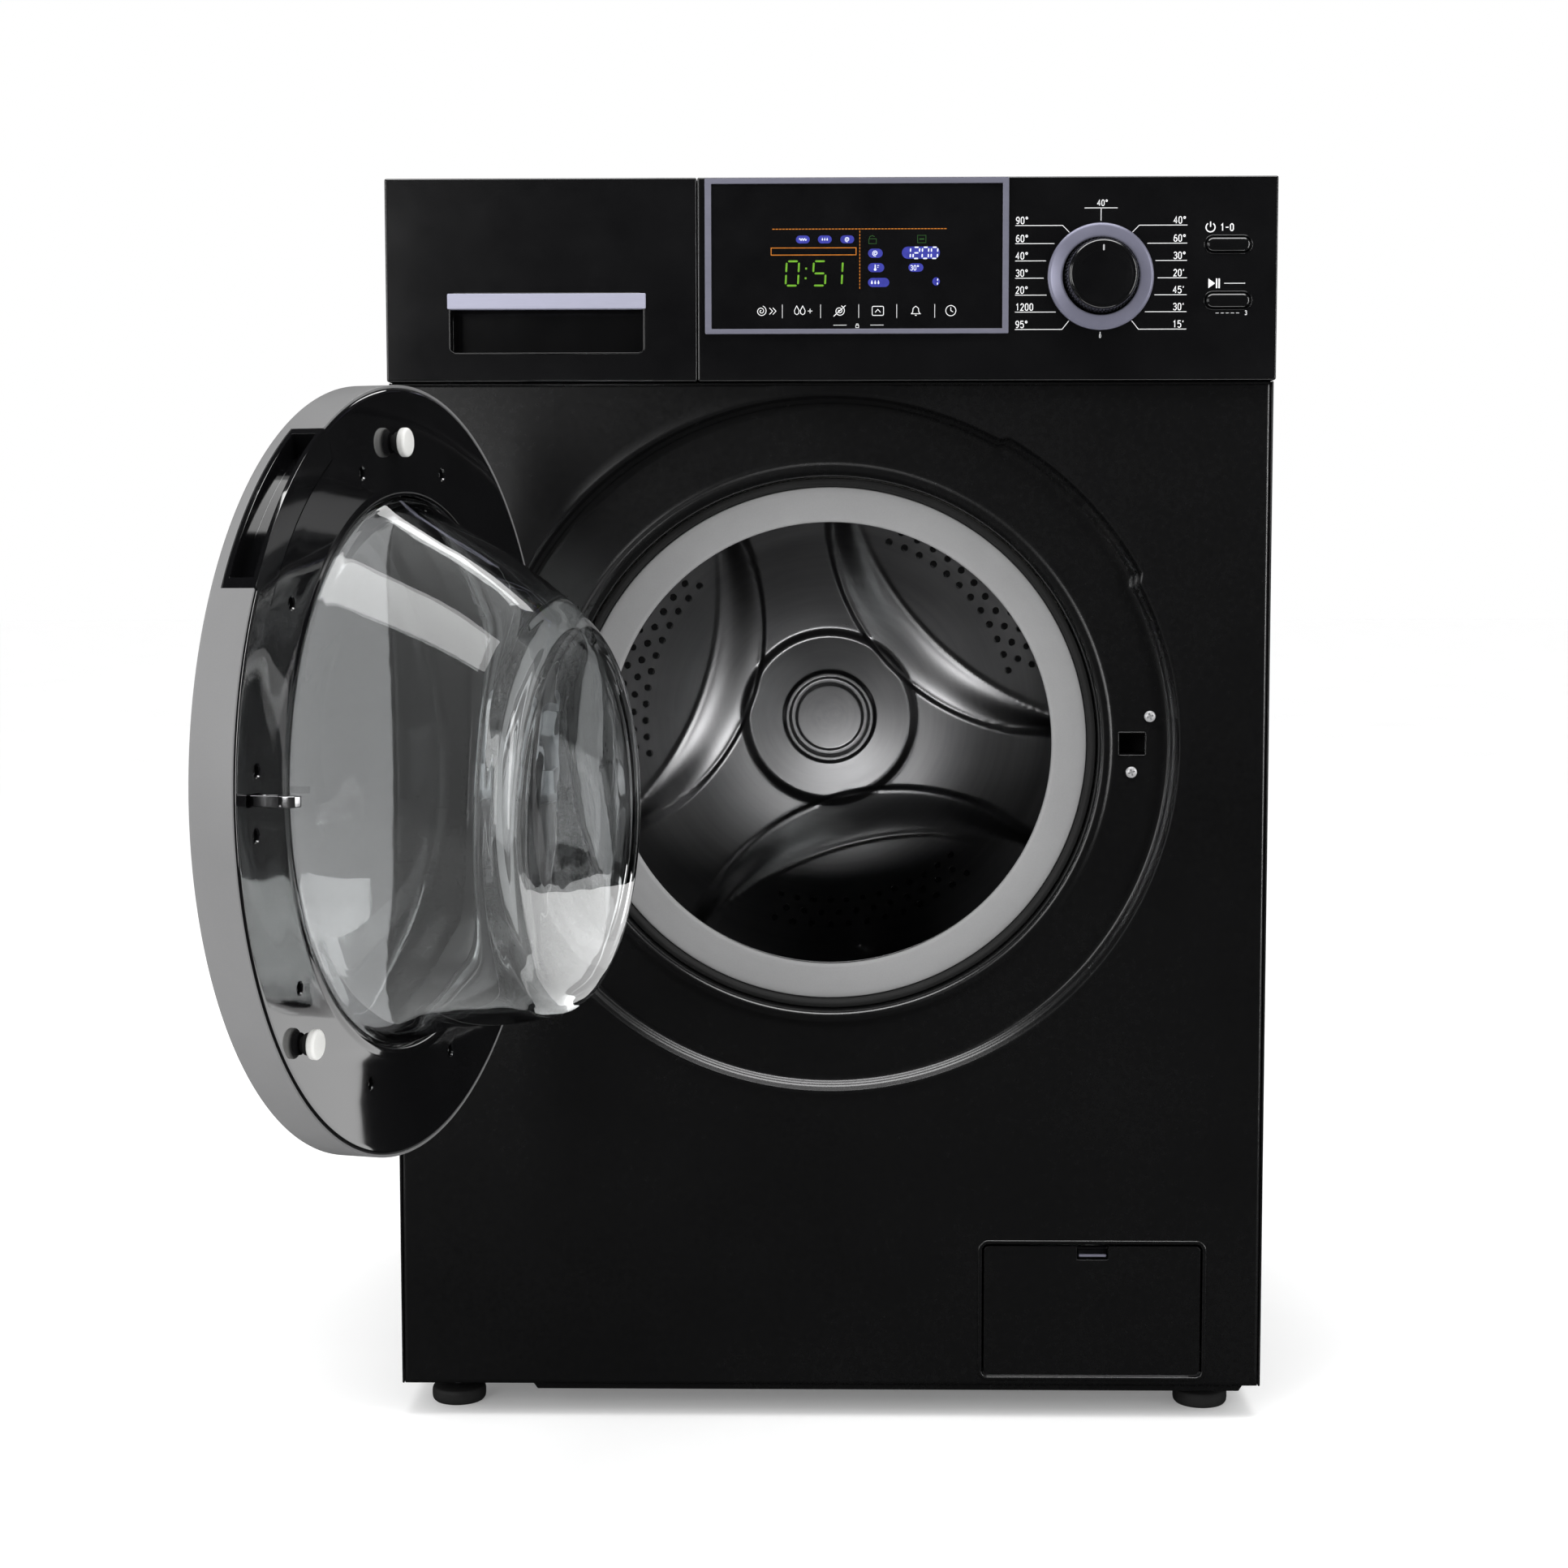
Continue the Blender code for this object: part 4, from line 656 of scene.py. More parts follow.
# knob and its ring
knob = link("selector_knob", turned_bm(
    soft([(0, -0.0188), (0.0150, -0.0190), (0.0188, -0.0197), (0.0200, -0.0200), (0.0216, -0.0197), (0.0228, -0.0186), (0.0234, -0.0160), (0.0243, -0.0060), (0.0249, -0.0020), (0.0247, -0.0012), (0.0050, -0.0012), (0.0050, 0.0110), (0, 0.0110)], 0.0012, 4),
    144, KNOB_X, KNOB_Z))
knob.data.transform(Matrix.Translation((0, CONSOLE_Y, 0)))
settle(knob, "selector", "gloss", ["control_knob"], 42, False)
flutes = []
for a in even(60):
    rr = 0.02425
    cx, cz = KNOB_X + rr * cos(a), KNOB_Z + rr * sin(a)
    flutes.append(turned_bm(soft([(0, CONSOLE_Y - 0.0150), (0.00035, CONSOLE_Y - 0.0145), (0.0006, CONSOLE_Y - 0.0030), (0, CONSOLE_Y - 0.0020)], 0.0002, 2), 8, cx - 0.0001 * cos(a), cz - 0.0001 * sin(a)))
settle(link("selector_knob_flutes", merge(flutes)), "selector", "gloss", smooth=60)
mark = link("selector_pointer", prism_bm(rounded(KNOB_X - 0.00055, KNOB_X + 0.00055, KNOB_Z + 0.0150, KNOB_Z + 0.0188, 0.0004, 3), "Y", CONSOLE_Y - 0.01985, CONSOLE_Y - 0.0185))
settle(mark, "selector", "print_dim", smooth=30)
ringo = link("selector_ring", turned_bm(
    soft([(0.0256, CONSOLE_Y - 0.0003), (0.0354, CONSOLE_Y - 0.0003), (0.0354, CONSOLE_Y - 0.0022), (0.0346, CONSOLE_Y - 0.0032), (0.0334, CONSOLE_Y - 0.0038), (0.0268, CONSOLE_Y - 0.0054), (0.0259, CONSOLE_Y - 0.0052), (0.0256, CONSOLE_Y - 0.0042)], 0.0005, 3), 160, KNOB_X, KNOB_Z))
settle(ringo, "cabinet", "ring_grey", ["knob_ring"], 25, False)

for label, z, body in (("power", POWER_Z, "power_key"), ("start", START_Z, "start_key")):
    bm = bmesh.new()
    loops = []
    for inset, y in ((0.0047, -0.00215), (0.0030, -0.00220), (0.0018, -0.00205), (0.0009, -0.0017), (0.0004, -0.0012), (0.0, -0.0004), (0.0, 0.0080)):
        loops.append([(x, CONSOLE_Y + y, zz) for x, zz in pill(BUTTON_X, z, 0.0295 - 2 * inset * 0.98, 0.0094 - 2 * inset * 0.98)])
    rings = skin(bm, loops, False)
    bm.faces.new(rings[0])
    bm.faces.new(rings[-1])
    settle(link(label + "_key_cap", bm), body, "gloss", [label + "_button"], 40, False)
    border(label + "_key_surround", pill(BUTTON_X, z, 0.0318, 0.0117), 0.0010, CONSOLE_Y, 0.0004, "gloss")


# ------------------------------------------------------------------ printed and lit marks
def ribbon(points, width, y, closed=False, thick=0.00006):
    """A flat line of the given width along points (x, z), on a face that looks along -Y."""
    n = len(points)
    left, right = [], []
    for i, p in enumerate(points):
        a = points[i - 1] if (i > 0 or closed) else p
        b = points[(i + 1) % n] if (i < n - 1 or closed) else p
        t0 = Vector((p[0] - a[0], p[1] - a[1]))
        t1 = Vector((b[0] - p[0], b[1] - p[1]))
        if t0.length < 1e-9:
            t0 = t1
        if t1.length < 1e-9:
            t1 = t0
        t0.normalize()
        t1.normalize()
        t = t0 + t1
        if t.length < 1e-6:
            t = t0.copy()
        t.normalize()
        nrm = Vector((-t.y, t.x))
        k = width / 2 / max(0.45, nrm.dot(Vector((-t0.y, t0.x))))
        left.append((p[0] + nrm.x * k, p[1] + nrm.y * k))
        right.append((p[0] - nrm.x * k, p[1] - nrm.y * k))
    bm = bmesh.new()
    rows = []
    for l, r in zip(left, right):
        rows.append([bm.verts.new((l[0], y - thick, l[1])), bm.verts.new((r[0], y - thick, r[1])), bm.verts.new((r[0], y, r[1])), bm.verts.new((l[0], y, l[1]))])
    pairs = list(zip(rows, rows[1:]))
    if closed:
        pairs.append((rows[-1], rows[0]))
    for a, b in pairs:
        for k in range(4):
            m = (k + 1) % 4
            bm.faces.new((a[k], b[k], b[m], a[m]))
    if not closed:
        bm.faces.new(rows[0])
        bm.faces.new(rows[-1])
    return bm


def solid(points, y, thick=0.00006):
    return prism_bm(points, "Y", y - thick, y)


SEG = {"0": "abcdef", "1": "bc", "2": "abged", "3": "abgcd", "4": "fgbc", "5": "afgcd", "6": "afgedc", "7": "abc", "8": "abcdefg", "9": "abcdfg"}


def seven(text, x0, z0, w, h, line, y, gap, lean=0.05):
    """Numerals of seven segments, leaning a little to the right."""
    out = []
    x = x0
    for ch in text:
        if ch == ":":
            for zz in (0.30, 0.70):
                cx = x + line * 0.6 + lean * h * zz
                out.append(solid([(cx - line / 2, z0 + h * zz - line / 2), (cx + line / 2, z0 + h * zz - line / 2), (cx + line / 2, z0 + h * zz + line / 2), (cx - line / 2, z0 + h * zz + line / 2)], y))
            x += line * 1.2 + gap
            continue
        e = line * 0.62
        seg = {
            "a": [(e, h), (w - e, h)], "b": [(w, h - e), (w, h / 2 + e)], "c": [(w, h / 2 - e), (w, e)], "d": [(e, 0), (w - e, 0)],
            "e": [(0, e), (0, h / 2 - e)], "f": [(0, h / 2 + e), (0, h - e)], "g": [(e, h / 2), (w - e, h / 2)],
        }
        for s in SEG[ch]:
            (ax, az), (bx, bz) = seg[s]
            d = Vector((bx - ax, bz - az)).normalized()
            n = Vector((-d.y, d.x)) * (line / 2)
            tip = line / 2
            pts = [(ax - d.x * 0, az - d.y * 0), (ax + d.x * tip + n.x, az + d.y * tip + n.y), (bx - d.x * tip + n.x, bz - d.y * tip + n.y), (bx, bz), (bx - d.x * tip - n.x, bz - d.y * tip - n.y), (ax + d.x * tip - n.x, az + d.y * tip - n.y)]
            out.append(solid([(x + px + lean * pz, z0 + pz) for px, pz in pts], y))
        x += w + gap
    return out


# thin stroke numerals and marks: (x, z) strokes in a cell 1 wide and 1.6 high
STROKES = {
    "0": [[(0.15, 0.3), (0.15, 1.3), (0.35, 1.6), (0.65, 1.6), (0.85, 1.3), (0.85, 0.3), (0.65, 0), (0.35, 0), (0.15, 0.3)]],
    "1": [[(0.25, 1.25), (0.55, 1.6), (0.55, 0)]],
    "2": [[(0.15, 1.25), (0.35, 1.6), (0.65, 1.6), (0.85, 1.3), (0.85, 1.05), (0.15, 0), (0.88, 0)]],
    "3": [[(0.15, 1.35), (0.35, 1.6), (0.65, 1.6), (0.85, 1.35), (0.85, 1.1), (0.62, 0.86), (0.4, 0.86)], [(0.62, 0.86), (0.88, 0.6), (0.88, 0.28), (0.65, 0), (0.35, 0), (0.12, 0.25)]],
    "4": [[(0.65, 0), (0.65, 1.6), (0.1, 0.5), (0.92, 0.5)]],
    "5": [[(0.85, 1.6), (0.22, 1.6), (0.17, 0.92), (0.4, 1.02), (0.65, 1.02), (0.88, 0.75), (0.88, 0.28), (0.65, 0), (0.35, 0), (0.12, 0.22)]],
    "6": [[(0.8, 1.5), (0.55, 1.6), (0.3, 1.4), (0.15, 0.9), (0.15, 0.3), (0.35, 0), (0.65, 0), (0.87, 0.28), (0.87, 0.65), (0.65, 0.92), (0.35, 0.92), (0.15, 0.62)]],
    "8": [[(0.5, 0.86), (0.2, 1.08), (0.2, 1.38), (0.38, 1.6), (0.62, 1.6), (0.8, 1.38), (0.8, 1.08), (0.5, 0.86), (0.15, 0.6), (0.15, 0.25), (0.36, 0), (0.64, 0), (0.85, 0.25), (0.85, 0.6), (0.5, 0.86)]],
    "9": [[(0.2, 0.1), (0.45, 0), (0.7, 0.2), (0.85, 0.7), (0.85, 1.3), (0.65, 1.6), (0.35, 1.6), (0.13, 1.32), (0.13, 0.95), (0.35, 0.68), (0.65, 0.68), (0.85, 0.98)]],
    "7": [[(0.12, 1.6), (0.88, 1.6), (0.4, 0)]],
    "o": [[(0.2, 1.28), (0.2, 1.5), (0.32, 1.62), (0.48, 1.62), (0.6, 1.5), (0.6, 1.28), (0.48, 1.16), (0.32, 1.16), (0.2, 1.28)]],
    "'": [[(0.3, 1.65), (0.22, 1.25)]],
    "-": [[(0.15, 0.8), (0.85, 0.8)]],
    "+": [[(0.15, 0.8), (0.85, 0.8)], [(0.5, 0.45), (0.5, 1.15)]],
}


def numerals(text, x, z, size, y, weight=0.00028, align="left"):
    """Plain stroke numerals, size metres high."""
    k = size / 1.6
    step = 1.15 * k
    width = step * len(text) - 0.15 * k
    if align == "right":
        x -= width
    elif align == "centre":
        x -= width / 2
    out = []
    for i, ch in enumerate(text):
        for stroke in STROKES[ch]:
            out.append(ribbon([(x + i * step + px * k, z + pz * k) for px, pz in stroke], weight, y))
    return out


# numbers round the selector, each on its own leader line
marks = []
Y0 = CONSOLE_Y - 0.00001
line_w = 0.00042
left_labels = ["90o", "60o", "40o", "30o", "20o", "1200", "95o"]
right_labels = ["40o", "60o", "30o", "20'", "45'", "30'", "15'"]
rows_z = [0.81655, 0.80465, 0.79325, 0.78185, 0.77065, 0.75945, 0.74795]
for k, z in enumerate(rows_z):
    dz = z - KNOB_Z
    reach = 0.0372
    edge = sqrt(max(0.0, reach * reach - min(abs(dz), 0.0300) ** 2))
    for side, far, labels in ((-1, 0.0570, left_labels), (1, 0.0575, right_labels)):
        x_far = KNOB_X + side * far
        x_bend = KNOB_X + side * (edge + (0.0008 if abs(dz) < 0.028 else 0.0035))
        pts = [(x_far, z), (x_bend, z)]
        if abs(dz) > 0.028:
            pts.append((KNOB_X + side * (edge - 0.0010), KNOB_Z + (0.0292 if dz > 0 else -0.0292)))
        marks.append(ribbon(pts, line_w, Y0))
        if side < 0:
            marks += numerals(labels[k], x_far + 0.0003, z + 0.0012, 0.0043, Y0, 0.00056)
        else:
            marks += numerals(labels[k], x_far - 0.0003, z + 0.0012, 0.0043, Y0, 0.00056, "right")
marks.append(ribbon([(KNOB_X, KNOB_Z + 0.0368), (KNOB_X, KNOB_Z + 0.0452)], line_w, Y0))
marks.append(ribbon([(KNOB_X - 0.0110, KNOB_Z + 0.0452), (KNOB_X + 0.0110, KNOB_Z + 0.0452)], line_w, Y0))
marks += numerals("40o", KNOB_X + 0.0012, KNOB_Z + 0.0467, 0.0037, Y0, 0.00050, "centre")
marks.append(ribbon([(KNOB_X, KNOB_Z - 0.0366), (KNOB_X, KNOB_Z - 0.0378)], line_w, Y0))
marks += numerals("0", KNOB_X, KNOB_Z - 0.0404, 0.0022, Y0, 0.00030, "centre")


def power_icon(cx, cz, r, w, y):
    return [ribbon([(cx + r * sin(radians(t)), cz + r * cos(radians(t))) for t in range(35, 326, 10)], w, y), ribbon([(cx, cz + r * 0.1), (cx, cz + r * 1.25)], w, y)]


def play_pause(cx, cz, s, y):
    return [
        solid([(cx - s * 1.1, cz - s), (cx - s * 1.1, cz + s), (cx + s * 0.3, cz)], y),
        ribbon([(cx + s * 0.62, cz - s), (cx + s * 0.62, cz + s)], s * 0.3, y),
        ribbon([(cx + s * 1.15, cz - s), (cx + s * 1.15, cz + s)], s * 0.3, y),
    ]


marks += power_icon(0.2535, 0.8150, 0.0030, 0.00075, Y0)
marks += numerals("1-0", 0.2600, 0.8128, 0.0044, Y0, 0.00070)
marks += play_pause(0.2560, 0.7781, 0.0032, Y0)
marks.append(ribbon([(0.2630, 0.7781), (0.2770, 0.7781)], line_w, Y0))
marks += numerals("3", 0.2768, 0.7573, 0.0027, Y0, 0.00036)
for k in range(5):
    marks.append(ribbon([(0.2575 + 0.0034 * k, 0.7585), (0.2596 + 0.0034 * k, 0.7585)], 0.0003, Y0))
settle(link("console_print", merge(marks)), "cabinet", "print", smooth=30)

# the lit figures behind the window: positions across and up in the window
YW = CONSOLE_Y - 0.00131


def wx(px):
    return -0.0833 + (px - 872.0) * (0.2023 / 367.0)


def wz(py):
    return 0.8480 - (py - 219.5) * (0.1025 / 188.5)


amber = [ribbon([(wx(x), wz(281)), (wx(x + 3.0), wz(281))], 0.00050, YW) for x in range(953, 1164, 4)]
amber += [ribbon([(wx(1059), wz(y)), (wx(1059), wz(y + 2.6))], 0.00050, YW) for y in range(283, 352, 4)]
amber.append(ribbon([(wx(951.5), wz(303.8)), (wx(1054.5), wz(303.8)), (wx(1054.5), wz(312.4)), (wx(951.5), wz(312.4))], 0.00050, YW, True))
settle(link("display_amber_lines", merge(amber)), "cabinet", "amber", smooth=30)
green = seven("0:5", wx(969), wz(349.5), wx(984) - wx(969), wz(320) - wz(349.5), 0.0012, YW, 0.0042)
green += seven("1", wx(1022), wz(349.5), wx(1037) - wx(1022), wz(320) - wz(349.5), 0.0012, YW, 0.0042)
settle(link("display_time_figures", merge(green)), "cabinet", "green", smooth=30)
dim = [ribbon([(wx(1070), wz(299)), (wx(1079), wz(299)), (wx(1079), wz(293)), (wx(1070), wz(293))], 0.0004, YW, True), ribbon([(wx(1071), wz(293)), (wx(1071), wz(290.5)), (wx(1074), wz(289)), (wx(1077), wz(290.5))], 0.0004, YW)]
dim += [ribbon([(wx(1129), wz(298)), (wx(1139), wz(298)), (wx(1139), wz(289)), (wx(1129), wz(289))], 0.0004, YW, True), ribbon([(wx(1131), wz(293.5)), (wx(1137), wz(293.5))], 0.0009, YW)]
settle(link("display_dim_icons", merge(dim)), "cabinet", "green_dim", smooth=30)
glow = []
for x in (990, 1016.6, 1043.8):
    glow.append(solid(pill(wx(x), wz(293.6), 0.0092, 0.0052), YW))
for y, w in ((310.5, 0.0098), (328, 0.0108), (346, 0.0142)):
    glow.append(solid(pill(wx(1069) + w / 2, wz(y), w, 0.0060), YW))
for x0, x1, y in ((1110, 1156, 310), (1118, 1136, 328), (1147, 1156, 345)):
    glow.append(solid(pill(0.5 * (wx(x0) + wx(x1)), wz(y), wx(x1) - wx(x0), 0.0080 if y < 320 else 0.0056), YW))
settle(link("display_blue_glow", merge(glow)), "cabinet", "blue", smooth=30)
YL = YW - 0.00008
white = []
for n, x in enumerate((990, 1016.6, 1043.8)):  # three stage marks: wave, drops, spiral
    cx, cz = wx(x), wz(293.6)
    if n == 0:
        white.append(ribbon([(cx - 0.0024 + 0.0048 * t / 16, cz + 0.0007 * sin(t * 1.2)) for t in range(17)], 0.0005, YL))
    elif n == 1:
        for d in (-0.0016, 0.0, 0.0016):
            white.append(solid([(cx + d, cz + 0.0013), (cx + d + 0.0005, cz - 0.0003), (cx + d, cz - 0.0010), (cx + d - 0.0005, cz - 0.0003)], YL))
    else:
        white.append(ribbon([(cx + (0.0003 + 0.00009 * t) * cos(t * 0.7), cz + (0.0003 + 0.00009 * t) * sin(t * 0.7)) for t in range(17)], 0.00045, YL))
for n, y in enumerate((310.5, 328, 346)):  # spiral, thermometer, drops
    cx, cz = wx(1069) + 0.0048, wz(y)
    if n == 0:
        white.append(ribbon([(cx + (0.0003 + 0.00011 * t) * cos(t * 0.7), cz + (0.0003 + 0.00011 * t) * sin(t * 0.7)) for t in range(17)], 0.0005, YL))
    elif n == 1:
        white.append(ribbon([(cx, cz + 0.0020), (cx, cz - 0.0008)], 0.0007, YL))
        white.append(solid(arc(cx, cz - 0.0012, 0.0009, 0, 330, 11), YL))
        white.append(ribbon([(cx + 0.0013, cz + 0.0014), (cx + 0.0026, cz + 0.0014)], 0.0004, YL))
        white.append(ribbon([(cx + 0.0013, cz + 0.0002), (cx + 0.0022, cz + 0.0002)], 0.0004, YL))
    else:
        for d in (-0.0022, 0.0, 0.0022):
            white.append(solid([(cx + d, cz + 0.0017), (cx + d + 0.0007, cz - 0.0004), (cx + d, cz - 0.0013), (cx + d - 0.0007, cz - 0.0004)], YL))
white += seven("1200", wx(1112.5), wz(317), wx(1120) - wx(1112.5), wz(303.5) - wz(317), 0.0009, YL, 0.0019)
white += seven("1", wx(1148), wz(350), wx(1153) - wx(1148), wz(340.5) - wz(350), 0.0007, YL, 0.0019)
white += numerals("30o", wx(1120), wz(331.2), 0.0031, YL, 0.00045)
settle(link("display_white_figures", merge(white)), "cabinet", "white_lit", smooth=30)

# touch keys under the figures: one small pictogram each, with thin dividers
keys = []
for x in (965, 1011.5, 1057.8, 1103.9, 1150):
    keys.append(ribbon([(wx(x), wz(372.5)), (wx(x), wz(389))], 0.00030, YW))


def spiral(cx, cz, r, turns, w, y):
    return ribbon([(cx + r * t / 40 * cos(2 * pi * turns * t / 40), cz + r * t / 40 * sin(2 * pi * turns * t / 40)) for t in range(4, 41)], w, y)


kz = wz(380.5)
kx = [wx(x) for x in (943, 988, 1034.5, 1081, 1127, 1169.5)]
keys += [spiral(kx[0] - 0.0020, kz, 0.0036, 2.2, 0.00042, YW), ribbon([(kx[0] + 0.0035, kz + 0.0022), (kx[0] + 0.0056, kz), (kx[0] + 0.0035, kz - 0.0022)], 0.00042, YW), ribbon([(kx[0] + 0.0058, kz + 0.0022), (kx[0] + 0.0079, kz), (kx[0] + 0.0058, kz - 0.0022)], 0.00042, YW)]
for d in (-0.0030, 0.0010):
    keys.append(ribbon([(kx[1] + d, kz + 0.0034), (kx[1] + d + 0.0016, kz + 0.0004), (kx[1] + d + 0.0013, kz - 0.0016), (kx[1] + d, kz - 0.0024), (kx[1] + d - 0.0013, kz - 0.0016), (kx[1] + d - 0.0016, kz + 0.0004)], 0.00042, YW, True))
keys += [ribbon([(kx[1] + 0.0044, kz), (kx[1] + 0.0074, kz)], 0.00042, YW), ribbon([(kx[1] + 0.0059, kz + 0.0015), (kx[1] + 0.0059, kz - 0.0015)], 0.00042, YW)]
keys += [spiral(kx[2], kz, 0.0036, 2.2, 0.00042, YW), ribbon([(kx[2] - 0.0040, kz - 0.0036), (kx[2] + 0.0040, kz + 0.0036)], 0.00050, YW)]
keys += [ribbon(rounded(kx[3] - 0.0038, kx[3] + 0.0038, kz - 0.0030, kz + 0.0030, 0.0008, 3), 0.00042, YW, True), ribbon([(kx[3] - 0.0018, kz - 0.0010), (kx[3], kz + 0.0010), (kx[3] + 0.0018, kz - 0.0010)], 0.00042, YW)]
keys += [ribbon([(kx[4] - 0.0030, kz - 0.0020), (kx[4] - 0.0020, kz - 0.0008), (kx[4] - 0.0018, kz + 0.0016), (kx[4], kz + 0.0030), (kx[4] + 0.0018, kz + 0.0016), (kx[4] + 0.0020, kz - 0.0008), (kx[4] + 0.0030, kz - 0.0020)], 0.00042, YW, True), ribbon([(kx[4] - 0.0006, kz - 0.0030), (kx[4] + 0.0006, kz - 0.0030)], 0.0005, YW)]
keys += [ribbon([(kx[5] + 0.0034 * cos(t * pi / 12), kz + 0.0034 * sin(t * pi / 12)) for t in range(24)], 0.00042, YW, True), ribbon([(kx[5], kz + 0.0022), (kx[5], kz), (kx[5] + 0.0015, kz - 0.0008)], 0.00042, YW)]
keys += [ribbon([(wx(1027), wz(397.8)), (wx(1043), wz(397.8))], 0.0003, YW), ribbon([(wx(1072), wz(397.8)), (wx(1088), wz(397.8))], 0.0003, YW)]
kx6 = wx(1056)
keys += [ribbon([(kx6 - 0.0010, wz(400) - 0.0005), (kx6 + 0.0010, wz(400) - 0.0005), (kx6 + 0.0010, wz(400) + 0.0011), (kx6 - 0.0010, wz(400) + 0.0011)], 0.0003, YW, True), ribbon([(kx6 - 0.0006, wz(400) + 0.0011), (kx6 - 0.0006, wz(400) + 0.0020), (kx6 + 0.0006, wz(400) + 0.0020), (kx6 + 0.0006, wz(400) + 0.0011)], 0.0003, YW)]
settle(link("touch_key_print", merge(keys)), "cabinet", "print", smooth=30)

# ------------------------------------------------------------------ door seal
seal = link("door_seal_bellows", turned_bm(
    soft([
        (0.1768, -0.2530), (0.1767, -0.2546), (0.1742, -0.2549), (0.1690, -0.2546), (0.1600, -0.2545), (0.1550, -0.2547), (0.1532, -0.2541), (0.1528, -0.2526), (0.1531, -0.2508),
        (0.1560, -0.2493), (0.1630, -0.2484), (0.1700, -0.2470), (0.1722, -0.2440), (0.1712, -0.2410), (0.1650, -0.2400), (0.1640, -0.2385), (0.1660, -0.2370), (0.1715, -0.2350), (0.1722, -0.2300), (0.1718, -0.2160),
        (0.1755, -0.2160), (0.1762, -0.2300), (0.1766, -0.2480),
    ], 0.0012, 3), 240))
# black ring between the grey seal and the panel's port flange: partly a real rubber clamp band, partly painted shade
# for the dark gap there
seal_band_and_gap_shade = link("door_seal_outer_lip", turned_bm(soft([(0.1828, -0.2600), (0.1800, -0.2604), (0.1780, -0.2592), (0.1772, -0.2566), (0.1771, -0.2500), (0.1778, -0.2500), (0.1827, -0.2556)], 0.0007, 3), 240))
settle(seal_band_and_gap_shade, "cabinet", "rubber", smooth=45)
settle(seal, "cabinet", "seal", ["door_gasket"], 45, False)

# ------------------------------------------------------------------ drum
ROWS, COLS = 26, 150
SH_R0, SH_R1 = 0.2338, 0.2350
bm = bmesh.new()
y0, y1 = -0.1880, 0.0800


def shell_point(r, a, y):
    return (r * cos(a), y, AXIS_Z + r * sin(a))


cell_a, cell_y = 2 * pi / COLS, (y1 - y0) / ROWS
grid = {}


def shell_vert(i, j):
    """Grid of half cells: i along Y, j round."""
    key = (i, j % (2 * COLS))
    if key not in grid:
        grid[key] = bm.verts.new(shell_point(SH_R0, key[1] * cell_a / 2, y0 + i * cell_y / 2))
    return grid[key]


LIFT_AT = (102.0, 222.0, 342.0)
for i in range(ROWS):
    for j in range(COLS):
        a_mid = degrees((j + 0.5) * cell_a)
        solid_cell = any(abs((a_mid - t + 180) % 360 - 180) < 11.5 for t in LIFT_AT) or i in (0, ROWS - 1) or (i + j) % 2
        around = [(2 * i, 2 * j), (2 * i, 2 * j + 1), (2 * i, 2 * j + 2), (2 * i + 1, 2 * j + 2), (2 * i + 2, 2 * j + 2), (2 * i + 2, 2 * j + 1), (2 * i + 2, 2 * j), (2 * i + 1, 2 * j)]
        outer = [shell_vert(*p) for p in around]
        if solid_cell:
            bm.faces.new(outer)
            continue
        ac, yc = (j + 0.5) * cell_a, y0 + (i + 0.5) * cell_y
        hole_r = 0.0017
        inner, lipv = [], []
        for k in range(8):
            t = radians(225 + 45 * k)
            dy, da = hole_r * sin(t) if False else hole_r * sin(t), hole_r * cos(t) / SH_R0
            inner.append(bm.verts.new(shell_point(SH_R0, ac + da, yc + dy)))
            lipv.append(bm.verts.new(shell_point(SH_R0 + 0.0011, ac + da * 0.8, yc + dy * 0.8)))
        for k in range(8):
            m = (k + 1) % 8
            bm.faces.new((outer[k], outer[m], inner[m], inner[k]))
            bm.faces.new((inner[k], inner[m], lipv[m], lipv[k]))
wrapper = link("drum_perforated_wrapper", bm)
# the surface faces the axis
bmw = bmesh.new()
bmw.from_mesh(wrapper.data)
f0 = max(bmw.faces, key=lambda f: f.calc_area())
c = f0.calc_center_median()
if f0.normal.dot(Vector((c.x, 0, c.z - AXIS_Z))) > 0:
    bmesh.ops.reverse_faces(bmw, faces=bmw.faces)
bmw.to_mesh(wrapper.data)
bmw.free()
settle(wrapper, "drum", "steel_shell", ["drum_shell"], 40, False)
rims = link("drum_rolled_rims", merge([
    turned_bm(soft([(SH_R0, -0.1880), (SH_R0, -0.1975), (0.2320, -0.2020), (0.2290, -0.2038), (0.1640, -0.2038), (0.1605, -0.2030), (0.1590, -0.2038), (0.1590, -0.2050), (0.1605, -0.2056), (0.1640, -0.2050), (0.2300, -0.2050), (0.2335, -0.2032), (SH_R1, -0.1985), (SH_R1, -0.1880)], 0.0012, 3), 240),
    turned_bm(soft([(SH_R0, 0.0800), (SH_R0, 0.0990), (SH_R1, 0.0990), (SH_R1, 0.0800)], 0.0003, 2), 240),
]))
settle(rims, "drum", "steel_shell", smooth=40)


PANELS = (43.0, 163.0, 283.0)


